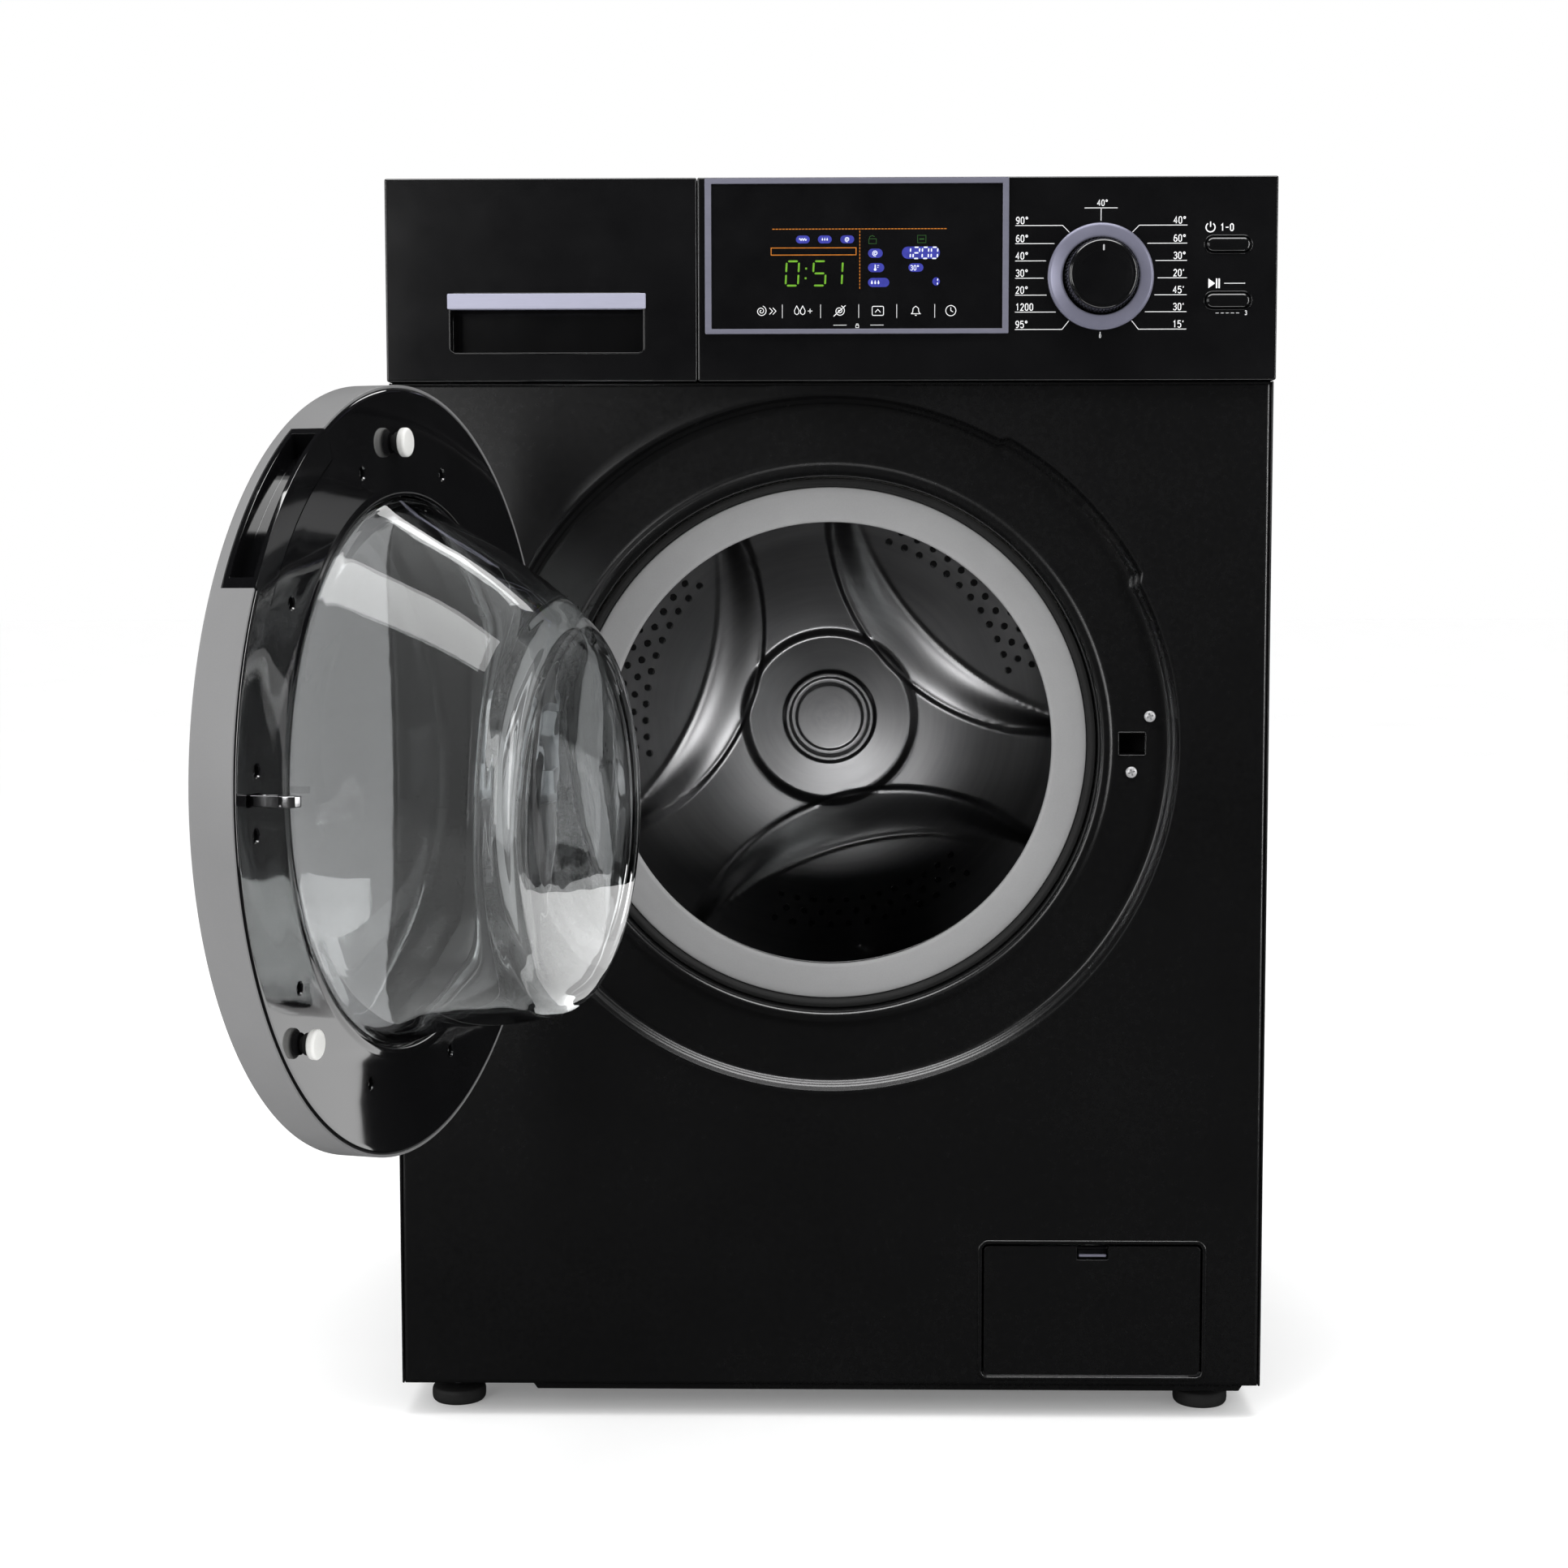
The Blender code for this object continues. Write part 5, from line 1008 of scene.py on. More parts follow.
def back_height(x, z):
    """Depth of the drum's back at a point measured from its axis: hub, dish, three arms and three raised panels."""
    r = hypot(x, z)
    if r < 0.0262:
        y = 0.0896 - 0.0003 * (1 - (r / 0.0262) ** 2)
    elif r < 0.0300:
        y = 0.0896 + 0.0026 * ease((r - 0.0262) / 0.0018)
    elif r < 0.0350:
        y = 0.0922 - 0.0026 * ease((r - 0.0310) / 0.0022)
    elif r < 0.0390:
        y = 0.0896 + 0.0030 * ease((r - 0.0355) / 0.0034)
    elif r < 0.0650:
        y = 0.0926 + 0.0012 * (r - 0.0390) / 0.0260
    elif r < 0.0740:
        y = 0.0938 - 0.0042 * ease((r - 0.0650) / 0.0090)
    else:
        y = 0.0896 + 0.0030 * ease((r - 0.0740) / 0.0900)
    raised, bead = 0.0, 0.0
    for c in PANELS:
        ca, sa = cos(radians(c)), sin(radians(c))
        d1 = 0.1825 - hypot(x - 0.248 * ca, z - 0.248 * sa)
        d2 = 0.2690 - hypot(x - 0.373 * ca, z - 0.373 * sa)
        if d1 <= -0.006:
            continue
        across = max(0.0010, d1 - d2)
        t = 1.0 if d2 >= 0 else max(0.0, min(1.0, d1 / across))
        raised = max(raised, ease((d1 + 0.0030) / 0.0050) * (0.22 + 0.78 * ease(t)))
        bead = max(bead, exp(-((d1 - 0.0002) / 0.0012) ** 2), 0.8 * exp(-((d2 - 0.0010) / 0.0013) ** 2))
    fade = ease((0.2300 - r) / 0.0140)
    return y - fade * (0.0092 * raised + 0.0010 * bead)


radii = [0.0005 * k for k in range(1, 80)]
radii = sorted(set([round(0.0010 * k, 5) for k in range(1, 27)] + [round(0.0265 + 0.0006 * k, 5) for k in range(0, 24)] + [round(0.0415 + 0.0016 * k, 5) for k in range(0, 13)] + [round(0.0625 + 0.0008 * k, 5) for k in range(0, 15)] + [round(0.0750 + 0.0018 * k, 5) for k in range(0, 88)]))
radii = [r for r in radii if r <= 0.2312] + [0.2315]
NA = 360
bm = bmesh.new()
loops = [[(0.0, back_height(0, 0), AXIS_Z)]]
for r in radii:
    loops.append([(r * cos(a), back_height(r * cos(a), r * sin(a)), AXIS_Z + r * sin(a)) for a in even(NA)])
loops.append([(0.2315 * cos(a), 0.0942, AXIS_Z + 0.2315 * sin(a)) for a in even(NA)])
loops.append([(0.0700 * cos(a), 0.0958, AXIS_Z + 0.0700 * sin(a)) for a in even(NA)])
loops.append([(0.0, 0.0958, AXIS_Z)])
skin(bm, loops, False)
settle(link("drum_back_pressing", bm), "drum", "steel_back", ["drum_back"], 60, False)

# each eyelet gets a near-black disc in its middle: painted shade where a real hole would show the dark behind the drum
# back
eyelets, hole_shade_discs = [], []
for c in PANELS:
    for row, rr in enumerate((0.1510, 0.1610, 0.1710)):
        n = 12 if row != 1 else 11
        for k in range(n):
            a = c + (k - (n - 1) / 2) * 5.15
            x, z = rr * cos(radians(a)), rr * sin(radians(a))
            y = back_height(x, z)
            eyelets.append(turned_bm([(0.0021, y + 0.0006), (0.0022, y - 0.0001), (0.0025, y - 0.00035), (0.0029, y - 0.0002), (0.0032, y + 0.0006)], 16, x, AXIS_Z + z))
            hole_shade_discs.append(turned_bm([(0, y - 0.00006), (0.0022, y - 0.00004), (0.0022, y + 0.0008), (0, y + 0.0008)], 16, x, AXIS_Z + z))
settle(link("drum_back_eyelets", merge(eyelets)), "drum", "steel_back", smooth=60)
settle(link("drum_back_holes", merge(hole_shade_discs)), "drum", "hole", smooth=60)

# lifters: hollow-sided paddles with rounded crests
for k, a in enumerate(LIFT_AT):
    node = "drum_lifter_%d" % (k + 1)
    lo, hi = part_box(node)
    mid = Vector(((lo.x + hi.x) / 2 - SX, (lo.z + hi.z) / 2 - AXIS_Z))
    at = atan2(mid.y, mid.x)
    bm = bmesh.new()
    loops = []
    stations = 24
    for s in range(stations + 1):
        t = s / stations
        y = -0.1850 + t * (0.0860 - -0.1850)
        end = min(ease(t / 0.10), ease((1 - t) / 0.06))
        crest = 0.2330 - (0.0350 * (0.25 + 0.75 * end))
        half = radians(8.0) * (0.86 + 0.14 * end)
        loop = []
        for u in range(25):
            v = -1 + 2 * u / 24
            w = abs(v)
            hgt = (1 - ease((w - 0.12) / 0.80)) ** 0.8
            rr = 0.2330 - (0.2330 - crest) * hgt
            loop.append((rr * cos(at + half * v), y, AXIS_Z + rr * sin(at + half * v)))
        for u in range(24, -1, -6):
            v = -1 + 2 * u / 24
            loop.append((0.2334 * cos(at + half * v), y, AXIS_Z + 0.2334 * sin(at + half * v)))
        loops.append(loop)
    rings = skin(bm, loops, False)
    bm.faces.new(rings[0])
    bm.faces.new(rings[-1])
    settle(link("drum_paddle_%d" % (k + 1), bm), "drum", "steel_shell", [node], 35, False)

# ------------------------------------------------------------------ screws
def screw_bm(cx, cz, y, r, height, cross=True, hexa=False):
    """A pan head with a cross recess, on a face that looks along -Y."""
    head = link("screw_head", turned_bm(soft([(0, y - height), (r * 0.55, y - height * 0.96), (r * 0.88, y - height * 0.62), (r, y - height * 0.12), (r, y + 0.0002), (0, y + 0.0002)], 0.0003, 3), 32, cx, cz))
    if cross:
        for turn in (20, 110):
            ca, sa = cos(radians(turn)), sin(radians(turn))
            pts = [(-r * 0.62, -r * 0.14), (r * 0.62, -r * 0.14), (r * 0.62, r * 0.14), (-r * 0.62, r * 0.14)]
            boolean(head, prism_bm([(cx + u * ca - v * sa, cz + u * sa + v * ca) for u, v in pts], "Y", y - height * 1.4, y - height * 0.25))
    out = bmesh.new()
    out.from_mesh(head.data)
    mesh = head.data
    bpy.data.objects.remove(head)
    bpy.data.meshes.remove(mesh)
    return out


for label, x, z in (("upper", 0.2182, 0.4878), ("lower", 0.2059, 0.4496)):
    settle(link("lock_screw_" + label, screw_bm(x, z, DISH_FLOOR_Y, 0.0039, 0.0021)), "cabinet", "screw", smooth=35)

# ------------------------------------------------------------------ door
NOTCH = block_bm  # hinge notch in the door's edge
rim = link("door_rim_band", turned_bm(
    soft([(0.1950, DOOR_RIM_Y, 0.0006), (0.2050, DOOR_RIM_Y - 0.0002, 0.002), (DOOR_R - 0.0001, DOOR_RIM_Y + 0.0008, 0.0018), (DOOR_R, DOOR_IN_Y - 0.0008, 0.0004), (0.2268, DOOR_IN_Y - 0.0008, 0.0004), (0.2262, DOOR_IN_Y - 0.0040, 0.0004), (0.2250, DOOR_RIM_Y + 0.0046, 0.003), (0.1950, DOOR_RIM_Y + 0.0040, 0.0006)], 0.0004, 5), 240))
boolean(rim, block_bm(-0.24, -0.1840, DOOR_RIM_Y + 0.0070, -0.27, AXIS_Z - 0.0360, AXIS_Z + 0.0360))
boolean(rim, sector_bm(0.2000, 0.2400, DOOR_RIM_Y + 0.0070, -0.27, 29.0, 60.0, 32))
settle(rim, "door", "silver", ["door_outer_rim"], 30, False)
cover = link("door_window_cover", turned_bm(
    [(0, DOOR_CROWN_Y), (0.0300, DOOR_CROWN_Y + 0.0001), (0.0700, DOOR_CROWN_Y + 0.0006), (0.1100, DOOR_CROWN_Y + 0.0014), (0.1400, DOOR_CROWN_Y + 0.0022), (0.1700, DOOR_CROWN_Y + 0.0034), (0.1900, DOOR_CROWN_Y + 0.0045), (0.1935, DOOR_CROWN_Y + 0.0050), (0.1944, DOOR_RIM_Y + 0.0006),
     (0.1944, DOOR_RIM_Y + 0.0036), (0.1900, DOOR_CROWN_Y + 0.0080), (0.1700, DOOR_CROWN_Y + 0.0066), (0.1400, DOOR_CROWN_Y + 0.0054), (0.1100, DOOR_CROWN_Y + 0.0046), (0.0700, DOOR_CROWN_Y + 0.0038), (0.0300, DOOR_CROWN_Y + 0.0033), (0, DOOR_CROWN_Y + 0.0032)], 240))
settle(cover, "door", "smoked", ["door_window"], 40, False)
band = link("door_window_mask", turned_bm(
    soft([(0.1610, DOOR_IN_Y - 0.0080), (0.1610, DOOR_RIM_Y + 0.0062), (0.1920, DOOR_RIM_Y + 0.0062), (0.1944, DOOR_RIM_Y + 0.0044), (0.1925, DOOR_RIM_Y + 0.0036), (0.1625, DOOR_RIM_Y + 0.0030), (0.1598, DOOR_RIM_Y + 0.0040), (0.1598, DOOR_IN_Y - 0.0082)], 0.0006, 3), 200))
settle(band, "door", "gloss", smooth=40)

trim = link("door_inner_trim", turned_bm(
    soft([(0.1640, DOOR_IN_Y - 0.0035, 0.0002), (0.1640, DOOR_IN_Y + 0.0002, 0.0006), (0.1668, DOOR_IN_Y + 0.0006, 0.001), (0.1700, DOOR_IN_Y - 0.0003, 0.001), (0.1980, DOOR_IN_Y - 0.0003, 0.003), (0.2235, DOOR_IN_Y - 0.0001, 0.002), (0.2254, DOOR_IN_Y - 0.0003, 0.0008), (0.2264, DOOR_IN_Y - 0.0014, 0.0006), (0.2264, DOOR_IN_Y - 0.0036, 0.0002)], 0.0005, 4), 240))
HOLES = [(.2014, .0155), (.2036, -.0184), (.1573, .1025), (.1552, -.1064), (.0646, -.176), (-.0541, -.1778), (-.0508, .1782), (.0648, .175), (-.1580, .1020), (-.1560, -.1040)]
boolean(trim, block_bm(-0.24, -0.1840, -0.30, -0.27, AXIS_Z - 0.0360, AXIS_Z + 0.0360))
boolean(trim, sector_bm(0.2080, 0.2400, -0.30, -0.27, 29.0, 60.0, 32))
boolean(trim, prism_bm(rounded(LATCH_X - 0.0080, LATCH_X + 0.0080, LATCH_Z - 0.0035, LATCH_Z + 0.0035, 0.001, 3), "Y", -0.30, -0.27))
cutters = []
for x, z in HOLES:
    cutters.append(turned_bm([(0, DOOR_IN_Y - 0.02), (0.0036, DOOR_IN_Y - 0.02), (0.0036, DOOR_IN_Y - 0.0012), (0.0046, DOOR_IN_Y + 0.0004), (0.0046, DOOR_IN_Y + 0.02), (0, DOOR_IN_Y + 0.02)], 28, x, AXIS_Z + z))
for x, z in ((0.0200, 0.1944), (0.1516, -0.1375)):
    cutters.append(turned_bm([(0, DOOR_IN_Y - 0.02), (0.0052, DOOR_IN_Y - 0.02), (0.0052, DOOR_IN_Y + 0.02), (0, DOOR_IN_Y + 0.02)], 28, x, AXIS_Z + z))
boolean(trim, merge(cutters))
settle(trim, "door", "piano", ["door_inner_frame"], 30, False)
cups, heads = [], []
for x, z in HOLES:
    cups.append(turned_bm(soft([(0, DOOR_IN_Y - 0.0088), (0.0034, DOOR_IN_Y - 0.0088), (0.0034, DOOR_IN_Y - 0.0034), (0.0040, DOOR_IN_Y - 0.0032), (0.0046, DOOR_IN_Y - 0.0037), (0.0046, DOOR_IN_Y - 0.0100), (0, DOOR_IN_Y - 0.0100)], 0.0002, 2), 24, x, AXIS_Z + z))
    bm = screw_bm(0.0, 0.0, 0.0, 0.0029, 0.0016)
    bm.transform(Matrix.Translation((x, DOOR_IN_Y - 0.0086, AXIS_Z + z)) @ Matrix.Rotation(pi, 4, "Z"))
    heads.append(bm)
settle(link("door_screw_wells", merge(cups)), "door", "gloss", smooth=40)
settle(link("door_screws", merge(heads)), "door", "screw", smooth=35)

# glass bowl, from smooth stations
BOWL = [(-0.0040, 0.1625, 0.0000), (0.0010, 0.1622, 0.0001), (0.0080, 0.1580, 0.0010), (0.0280, 0.1482, 0.0030), (0.0500, 0.1412, 0.0080), (0.0720, 0.1330, 0.0140), (0.0900, 0.1240, 0.0190), (0.0990, 0.1182, 0.0217), (0.1035, 0.1142, 0.0230), (0.1064, 0.1098, 0.0238), (0.1079, 0.1044, 0.0243), (0.1086, 0.0980, 0.0246), (0.1094, 0.0880, 0.0249), (0.1100, 0.0760, 0.0250)]


def catmull(rows, per):
    out = []
    n = len(rows)
    for i in range(n - 1):
        p0, p1, p2, p3 = rows[max(i - 1, 0)], rows[i], rows[i + 1], rows[min(i + 2, n - 1)]
        for k in range(per):
            t = k / per
            out.append(tuple(0.5 * ((2 * b) + (-a + c) * t + (2 * a - 5 * b + 4 * c - d) * t * t + (-a + 3 * b - 3 * c + d) * t ** 3) for a, b, c, d in zip(p0, p1, p2, p3)))
    out.append(rows[-1])
    return out


def bowl_loop(depth, radius, drop, count=200):
    out = []
    for a in even(count):
        out.append((radius * cos(a), DOOR_IN_Y + depth, AXIS_Z - drop + radius * sin(a)))
    return out


outside = catmull(BOWL, 5)
loops = [[(0.0, DOOR_IN_Y + 0.1113, AXIS_Z - 0.0250)], bowl_loop(0.1111, 0.0300, 0.0250), bowl_loop(0.1107, 0.0600, 0.0250)]
loops += [bowl_loop(*row) for row in reversed(outside)]
loops += [bowl_loop(-0.0041, 0.1660, 0.0), bowl_loop(-0.0042, 0.1750, 0.0), bowl_loop(-0.0048, 0.1760, 0.0), bowl_loop(-0.0074, 0.1760, 0.0), bowl_loop(-0.0080, 0.1752, 0.0), bowl_loop(-0.0080, 0.1605, 0.0), bowl_loop(-0.0076, 0.1592, 0.0)]
inside = catmull([(-0.0040, 0.1580, 0.0), (0.0080, 0.1528, 0.0010), (0.0270, 0.1434, 0.0030), (0.0480, 0.1362, 0.0076), (0.0690, 0.1282, 0.0134), (0.0850, 0.1204, 0.0182), (0.0930, 0.1138, 0.0212), (0.0972, 0.1088, 0.0226), (0.0998, 0.1030, 0.0236), (0.1012, 0.0965, 0.0243), (0.1024, 0.0870, 0.0247), (0.1034, 0.0740, 0.0250)], 5)
loops += [bowl_loop(*row) for row in inside]
loops += [bowl_loop(0.1044, 0.0560, 0.0250), bowl_loop(0.1052, 0.0280, 0.0250), [(0.0, DOOR_IN_Y + 0.1055, AXIS_Z - 0.0250)]]
bm = bmesh.new()
skin(bm, loops, False)
settle(link("door_bowl_glass", bm), "door", "glass", ["door_glass_bowl"], 60, False)

# grip: a dished channel for the fingers behind the rim
grip = link("door_grip_channel", sector_bm(0.2092, DOOR_R, DOOR_RIM_Y + 0.0078, DOOR_IN_Y + 0.0001, 29.1, 59.9, 40))
boolean(grip, sector_bm(0.2160, 0.2400, DOOR_RIM_Y + 0.0105, DOOR_IN_Y - 0.0026, 30.6, 58.4, 40))
rounded_edges(grip, 0.0008, 3, 40)
settle(grip, "door", "piano", ["door_grip"], 32, True)

for label, x, z in (("upper", 0.0200, 0.1944), ("lower", 0.1516, -0.1375)):
    cx, cz = x, AXIS_Z + z
    Yd = DOOR_IN_Y
    stem = link("bumper_stem_" + label, turned_bm(soft([(0, -0.2905), (0.0046, -0.2905), (0.0046, Yd + 0.0006), (0.0062, Yd + 0.0012), (0.0062, Yd + 0.0044), (0.0046, Yd + 0.0050), (0, Yd + 0.0050)], 0.0006, 3), 64, cx, cz))
    settle(stem, "door", "rubber", smooth=45)
    head = link("bumper_head_" + label, turned_bm(soft([(0, Yd + 0.0044), (0.0078, Yd + 0.0044), (0.0085, Yd + 0.0052), (0.0085, Yd + 0.0082), (0.0074, Yd + 0.0093), (0, Yd + 0.0094)], 0.0010, 4), 72, cx, cz))
    settle(head, "door", "white", ["door_bumper_" + label], 45, False)

# latch hook: a forged finger with a hollow in its side
hy = DOOR_IN_Y
hook_line = [
    (LATCH_X - 0.0040, hy - 0.0160), (LATCH_X + 0.0040, hy - 0.0160), (LATCH_X + 0.0040, hy + 0.0120), (LATCH_X + 0.0044, hy + 0.0165), (LATCH_X + 0.0062, hy + 0.0190), (LATCH_X + 0.0060, hy + 0.0225), (LATCH_X + 0.0046, hy + 0.0255),
    (LATCH_X + 0.0010, hy + 0.0275), (LATCH_X - 0.0024, hy + 0.0262), (LATCH_X - 0.0038, hy + 0.0225), (LATCH_X - 0.0040, hy + 0.0160),
]
hook = link("latch_finger", prism_bm(hook_line, "Z", LATCH_Z - 0.0030, LATCH_Z + 0.0030))
boolean(hook, prism_bm(rounded(LATCH_X - 0.0018, LATCH_X + 0.0020, hy + 0.0050, hy + 0.0140, 0.0015, 5), "Z", LATCH_Z - 0.01, LATCH_Z + 0.01))
rounded_edges(hook, 0.0010, 3, 30)
settle(hook, "latch", "chrome", ["latch_hook"], 35, True)

# ------------------------------------------------------------------ cover, feet
lid = link("top_board", block_bm(-HALF_W, HALF_W, CONSOLE_Y + 0.0246, 0.2740, 0.8240, HEIGHT))
rounded_edges(lid, 0.0028, 5, 60)
settle(lid, "cabinet", "laminate", ["top_cover"], 30, True)
for end, body, fy in (("front_left", "foot_fl", 0), ("front_right", "foot_fr", 0), ("rear_left", "foot_rl", 0), ("rear_right", "foot_rr", 0)):
    lo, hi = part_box("foot_" + end)
    cx, cy = (lo.x + hi.x) / 2 - SX, (lo.y + hi.y) / 2 - SY
    pad = link("foot_pad_" + end, turned_bm(soft([(0, 0.0004), (0.0150, 0.0004), (0.0160, 0.0), (0.0172, 0.0), (0.0186, 0.0016), (0.0190, 0.0040), (0.0190, 0.0078), (0.0182, 0.0100), (0.0150, 0.0112), (0.0100, 0.0122), (0, 0.0122)], 0.0007, 3), 72, cx, cy, "Z"))
    settle(pad, body, "rubber", ["foot_" + end], 45, False)
    flat = []
    r = 0.0085
    hexagon = [(cx + r * cos(radians(60 * k + 15)), cy + r * sin(radians(60 * k + 15))) for k in range(6)]
    nut = link("foot_nut_" + end, prism_bm(hexagon, "Z", 0.0150, 0.0205))
    rounded_edges(nut, 0.0006, 2, 30)
    settle(nut, body, "zinc", smooth=30)
    turns, per = 13, 20
    loops = []
    prof = []
    zz = 0.0118
    while zz < 0.0415:
        prof += [(0.0043, zz), (0.0050, zz + 0.0005), (0.0050, zz + 0.0007), (0.0043, zz + 0.0012)]
        zz += 0.0015
    prof = [(0, 0.0116)] + prof + [(0, zz)]
    settle(link("foot_thread_" + end, turned_bm(prof, 32, cx, cy, "Z")), body, "zinc", smooth=25)

# ------------------------------------------------------------------ back of the cabinet
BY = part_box("rear_panel")[1].y - SY
plate_line = rounded(-0.1500, 0.1500, 0.1400, 0.5800, 0.0400, 12)
plate = link("rear_access_plate", prism_bm(plate_line, "Y", BY - 0.0004, BY + 0.0016))
rounded_edges(plate, 0.0011, 3, 40)
settle(plate, "cabinet", "side_enamel", smooth=30, weighted=True)
dish = link("rear_access_dish", prism_bm(rounded(-0.1180, 0.1180, 0.1720, 0.5480, 0.0300, 12), "Y", BY + 0.0010, BY + 0.0046))
rounded_edges(dish, 0.0026, 4, 40)
settle(dish, "cabinet", "side_enamel", smooth=30, weighted=True)
back_screws = []
spots = [(-0.1360, 0.1560), (0.1360, 0.1560), (-0.1360, 0.5640), (0.1360, 0.5640), (0.0, 0.1520), (0.0, 0.5680), (-0.1400, 0.3600), (0.1400, 0.3600)]
spots_edge = [(sx * 0.2860, z) for sx in (-1, 1) for z in (0.0500, 0.2200, 0.4000, 0.5600, 0.7300, 0.8120)] + [(0.0, 0.8120), (-0.1000, 0.8120), (0.1000, 0.8120)]
base_head = screw_bm(0, 0, 0, 0.0042, 0.0020)
head_mesh = bpy.data.meshes.new("screw_master")
base_head.to_mesh(head_mesh)
base_head.free()
for n, (x, z) in enumerate(spots + spots_edge):
    b = bmesh.new()
    b.from_mesh(head_mesh)
    b.transform(Matrix.Translation((x, (BY + 0.0016) if n < len(spots) else BY, AXIS_Z * 0 + z)) @ Matrix.Rotation(pi, 4, "Z") @ Matrix.Rotation(radians(23 * n), 4, "Y"))
    back_screws.append(b)
settle(link("rear_screws", merge(back_screws)), "cabinet", "screw", smooth=35)
caps = []
for x, z in ((-0.2150, 0.1600), (0.2150, 0.1600), (-0.2150, 0.5300), (0.2000, 0.5000)):
    caps.append(turned_bm(soft([(0, BY + 0.0040), (0.0110, BY + 0.0040), (0.0150, BY + 0.0022), (0.0160, BY + 0.0002), (0.0160, BY - 0.0002), (0, BY - 0.0002)], 0.0008, 3), 64, x, z))
settle(link("transit_hole_caps", merge(caps)), "cabinet", "gloss", smooth=40)
slots = []
for k in range(9):
    slots.append(prism_bm(pill(0.0, 0.6400 + 0.0120 * k, 0.1500, 0.0040), "Y", BY - 0.0002, BY + 0.0009))
lou = link("rear_louvres", merge(slots))
rounded_edges(lou, 0.0005, 2, 40)
settle(lou, "cabinet", "side_enamel", smooth=35)

# ------------------------------------------------------------------ the CAD nodes that stay in sight get their own finish
DRESS = {
    "side_panel_left": "side_enamel", "side_panel_right": "side_enamel", "rear_panel": "side_enamel", "base_plate": "zinc",
    # the door lock behind the latch slot wears the near-black hole finish: painted shade, so the slot reads as a dark
    # hole
    "control_board": "board", "dispenser_housing": "grey", "drawer_tray": "tray", "inlet_valve": "white", "door_lock": "hole",
    "tub_front": "grey", "tub_rear": "grey", "heater": "steel", "front_counterweight": "concrete",
    "suspension_spring_left": "zinc", "suspension_spring_right": "zinc", "damper_left": "grey", "damper_right": "grey",
    "drum_bearing": "zinc", "drive_motor": "alloy", "drive_belt": "rubber", "drain_pump": "white", "power_inlet": "gloss",
    "drain_outlet": "grey", "hinge_bracket": "zinc", "hinge_pin": "zinc", "hinge_leaf": "zinc", "drum_spider": "alloy",
    "drum_pulley": "alloy", "motor_pulley": "zinc",
}
for node, look in DRESS.items():
    obj = NODES[node]
    if not obj.material_slots:
        obj.data.materials.append(M[look])
    for s in obj.material_slots:
        s.material = M[look]
for node, width in (("hinge_bracket", 0.0005), ("hinge_leaf", 0.0004), ("drawer_tray", 0.0008), ("dispenser_housing", 0.0006), ("side_panel_left", 0.0006), ("side_panel_right", 0.0006), ("power_inlet", 0.0005), ("drain_outlet", 0.0006), ("inlet_valve", 0.0006)):
    obj = NODES[node]
    weld = obj.modifiers.new("weld", "WELD")
    weld.merge_threshold = 0.00001
    bev = obj.modifiers.new("edges", "BEVEL")
    bev.width, bev.segments, bev.limit_method, bev.angle_limit = width, 2, "ANGLE", radians(40)
    bev.use_clamp_overlap = True
    nrm = obj.modifiers.new("normals", "WEIGHTED_NORMAL")
    nrm.keep_sharp = True

# ------------------------------------------------------------------ floor, light, camera
def glossy_mix(tree, shown, mirrored):
    """Shader shown, except in mirror reflections of the stage, where it is the darker one, as black flags keep it in a studio."""
    path = add(tree, "ShaderNodeLightPath")
    mix = add(tree, "ShaderNodeMixShader")
    direct = add(tree, "ShaderNodeMath", operation="SUBTRACT", use_clamp=True)
    tree.links.new(path.outputs["Is Glossy Ray"], direct.inputs[0])
    tree.links.new(path.outputs["Is Transmission Ray"], direct.inputs[1])
    tree.links.new(direct.outputs[0], mix.inputs[0])
    tree.links.new(shown, mix.inputs[1])
    tree.links.new(mirrored, mix.inputs[2])
    return mix.outputs[0]


bm = bmesh.new()
bmesh.ops.create_grid(bm, x_segments=24, y_segments=24, size=30.0)
floor_mesh = bpy.data.meshes.new("studio_floor")
bm.to_mesh(floor_mesh)
bm.free()
floor = bpy.data.objects.new("studio_floor", floor_mesh)
bpy.context.scene.collection.objects.link(floor)
mat, tree, bsdf = nodes_of("pale_floor")
tree.links.new(tinted(tree, noise_of(tree, coords(tree), 3.0, 3.0, 0.5), (0.86, 0.86, 0.86), (0.90, 0.90, 0.90)), bsdf.inputs["Base Color"])
bsdf.inputs["Roughness"].default_value = 0.9
bsdf.inputs["Specular IOR Level"].default_value = 0.1
bsdf.inputs["Emission Color"].default_value = (1.0, 1.0, 1.0, 1.0)
bsdf.inputs["Emission Strength"].default_value = 0.16
dark = add(tree, "ShaderNodeBsdfDiffuse")
dark.inputs["Color"].default_value = (0.03, 0.03, 0.03, 1.0)
tree.links.new(glossy_mix(tree, bsdf.outputs[0], dark.outputs[0]), tree.nodes["Material Output"].inputs["Surface"])
floor_mesh.materials.append(mat)

world = bpy.data.worlds.new("studio")
bpy.context.scene.world = world
world.use_nodes = True
wt = world.node_tree
bg = wt.nodes["Background"]
bg.inputs["Color"].default_value = (1.0, 1.0, 1.0, 1.0)
bg.inputs["Strength"].default_value = 1.0
bg2 = add(wt, "ShaderNodeBackground")
bg2.inputs["Color"].default_value = (0.014, 0.014, 0.015, 1.0)
wt.links.new(glossy_mix(wt, bg.outputs[0], bg2.outputs[0]), wt.nodes["World Output"].inputs["Surface"])


def softbox(name, at, aim, width, height, power, colour=(1, 1, 1)):
    light = bpy.data.lights.new(name, "AREA")
    light.shape = "RECTANGLE"
    light.size, light.size_y, light.energy, light.color = width, height, power, colour
    obj = bpy.data.objects.new(name, light)
    bpy.context.scene.collection.objects.link(obj)
    obj.location = at
    obj.rotation_euler = (Vector(aim) - Vector(at)).to_track_quat("-Z", "Y").to_euler()
    obj.visible_camera = False
    return obj


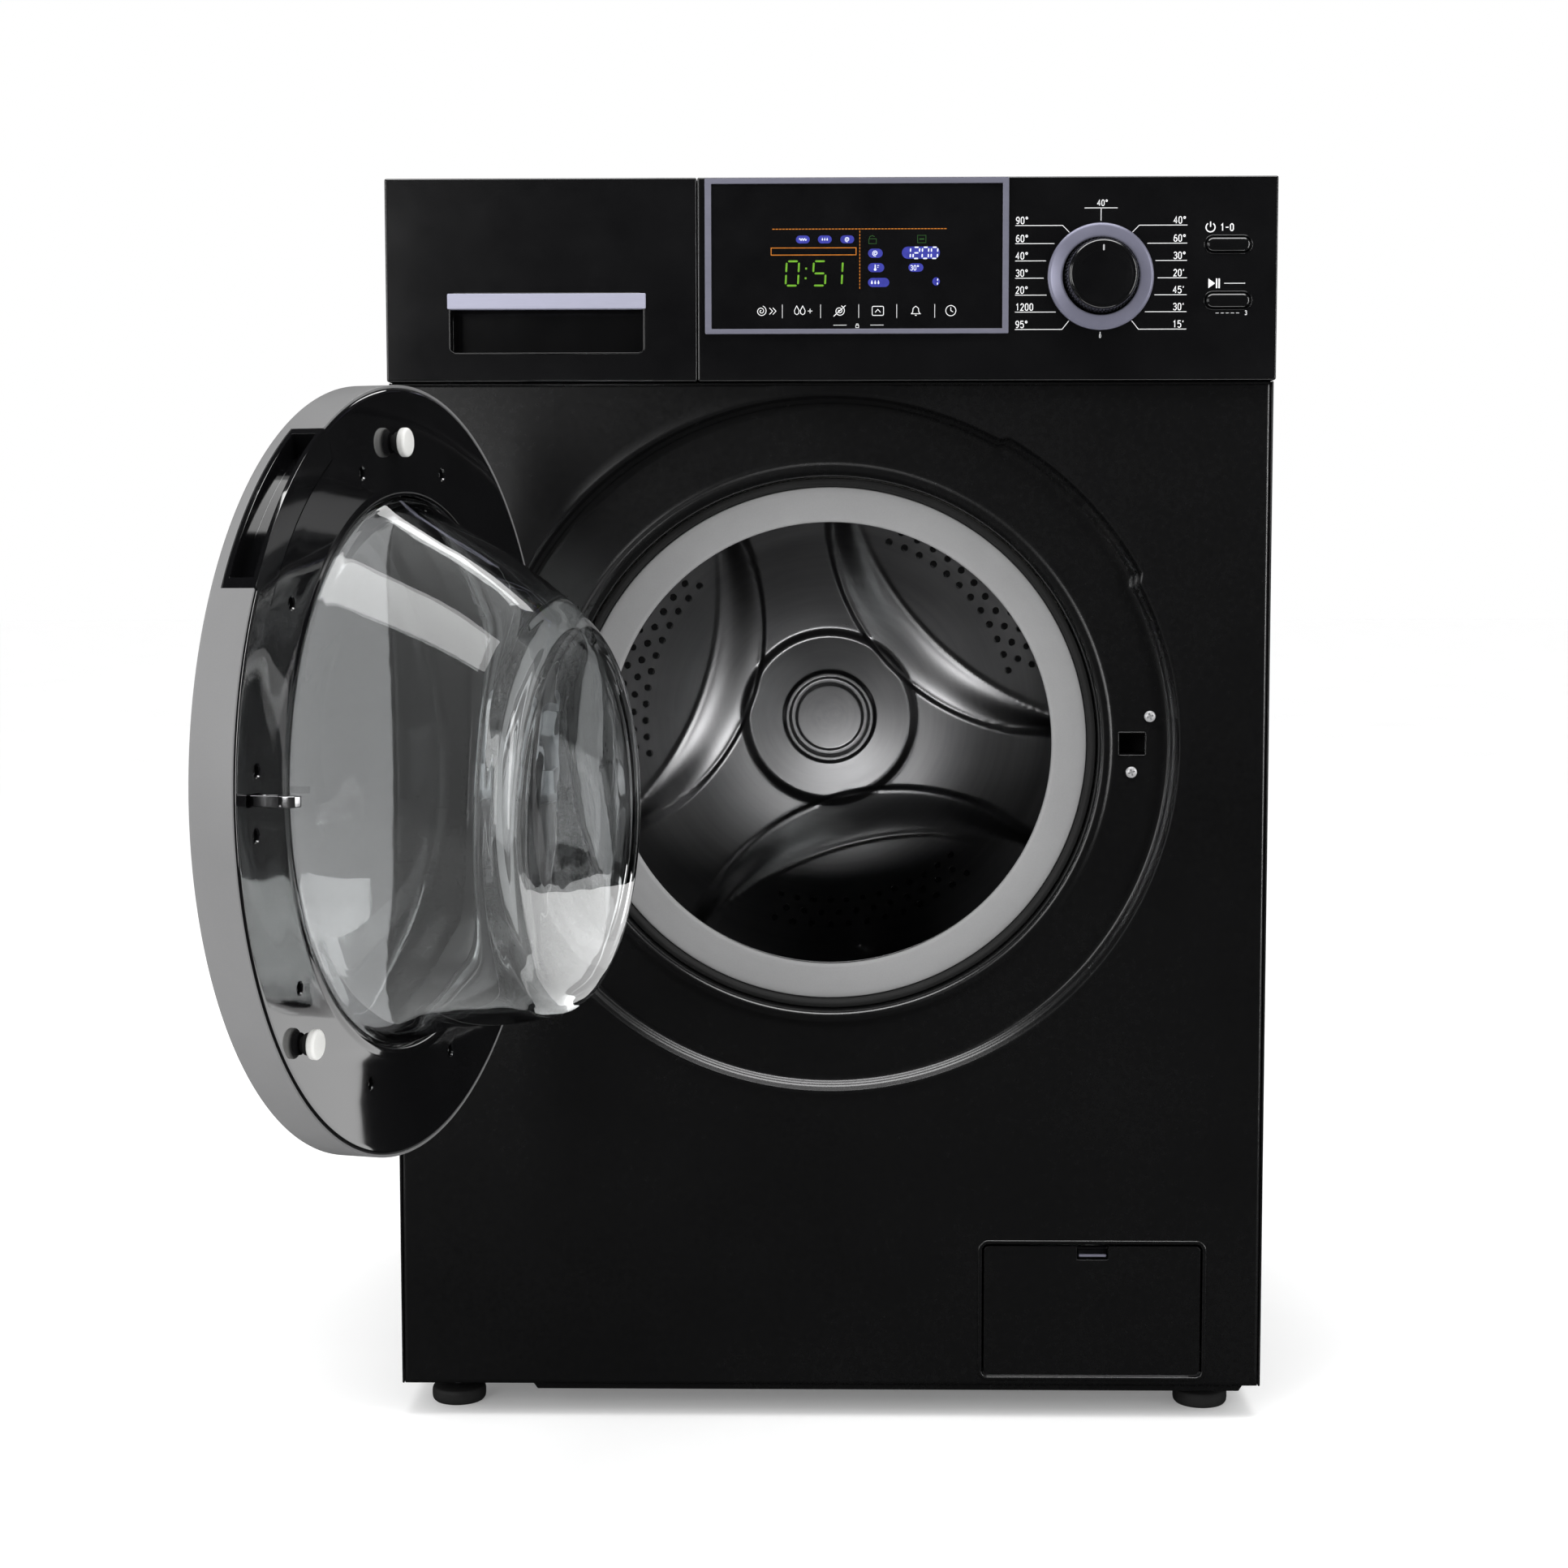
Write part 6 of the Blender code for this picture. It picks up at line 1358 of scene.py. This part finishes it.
softbox("overhead", (SX, -0.50, 2.35), (SX, -0.25, 0.5), 1.9, 0.8, 19)
softbox("front_left", (SX - 1.20, -2.30, 0.95), (SX - 0.3, -0.35, 0.45), 0.7, 1.0, 14)
glass_light = softbox("glass_side", (SX - 1.55, -0.95, 0.62), (SX - 0.25, -0.42, 0.45), 0.9, 1.1, 22)
softbox("left_strip", (SX - 1.7, -0.45, 0.8), (SX - 0.3, -0.3, 0.5), 0.30, 1.4, 6)
softbox("right_strip", (SX + 1.8, -0.9, 1.0), (SX, -0.1, 0.5), 0.30, 1.5, 7)
under = softbox("console_under", (SX, SY + CONSOLE_Y - 0.050, 0.014), (SX, SY + CONSOLE_Y - 0.050, 1.0), 1.2, 0.12, 3.0)
edge_lights = [
    softbox("edge_top", (SX, -0.50, 2.05), (SX, -0.15, 0.5), 2.0, 0.60, 34),
    softbox("edge_left", (SX - 1.5, -0.75, 0.7), (SX, -0.06, 0.5), 0.16, 1.5, 14),
    softbox("edge_right", (SX + 1.5, -0.75, 0.7), (SX, -0.06, 0.5), 0.16, 1.5, 14),
]
softbox("rear_top", (SX + 0.3, 1.6, 2.2), (SX, 0.2, 0.6), 1.4, 0.8, 14)
fill = softbox("drum_fill", (SX + 0.10, SY - 0.95, AXIS_Z - 0.30), (SX, SY, AXIS_Z), 0.30, 0.22, 2.6)
lamp = softbox("drum_side", (SX + 0.75, SY - 1.20, AXIS_Z + 0.55), (SX, SY + 0.05, AXIS_Z), 0.25, 0.5, 5.0)
lit_by = bpy.data.collections.new("inside_of_drum")
for obj in list(bpy.context.scene.objects):
    if obj.type == "MESH" and obj.name.startswith("drum_"):
        lit_by.objects.link(obj)
black = bpy.data.collections.new("black_surfaces")
for obj in list(bpy.context.scene.objects):
    if obj.type == "MESH" and any(m in [M["enamel"], M["console"], M["gloss"], M["piano"]] for m in obj.data.materials):
        black.objects.link(obj)
upper = bpy.data.collections.new("console_surfaces")
for obj in list(black.objects):
    if any(word in obj.name for word in ("console", "drawer", "key_", "selector")):
        upper.objects.link(obj)
under.light_linking.receiver_collection = upper
for obj in edge_lights:
    obj.light_linking.receiver_collection = black
glassy = bpy.data.collections.new("door_glass_only")
for obj in list(bpy.context.scene.objects):
    if obj.type == "MESH" and obj.name in ("door_bowl_glass", "door_window_cover"):
        glassy.objects.link(obj)
glass_light.light_linking.receiver_collection = glassy
card = softbox("low_card", (SX + 0.03, SY - 0.345, 0.235), (-0.30, -0.42, 0.25), 0.30, 0.26, 0.45)
plate_side = bpy.data.collections.new("door_inside_faces")
for obj in list(bpy.context.scene.objects):
    if obj.type == "MESH" and obj.name in ("door_inner_trim", "door_bowl_glass", "door_screw_wells"):
        plate_side.objects.link(obj)
card.light_linking.receiver_collection = plate_side
fill.light_linking.receiver_collection = lit_by
lamp.light_linking.receiver_collection = lit_by

cam_data = bpy.data.cameras.new("view")
cam = bpy.data.objects.new("view", cam_data)
bpy.context.scene.collection.objects.link(cam)
PITCH, YAW, ROLL, FOCAL = 0.0813, -0.0167, -0.0013, 3204.5
f = Vector((sin(YAW) * cos(PITCH), cos(YAW) * cos(PITCH), -sin(PITCH)))
r = Vector((cos(YAW), -sin(YAW), 0.0))
u = r.cross(f)
right = r * cos(ROLL) + u * sin(ROLL)
up = -r * sin(ROLL) + u * cos(ROLL)
rot = Matrix((right, up, -f)).transposed()
cam.matrix_world = Matrix.Translation((-0.0019 + SX, -2.0484 + SY, 0.5863)) @ rot.to_4x4()
cam_data.sensor_width = 36.0
cam_data.lens = FOCAL / 1932.0 * 36.0
cam_data.clip_start, cam_data.clip_end = 0.01, 50.0
bpy.context.scene.camera = cam
bpy.context.scene.view_settings.view_transform = "Standard"
bpy.context.scene.view_settings.look = "None"
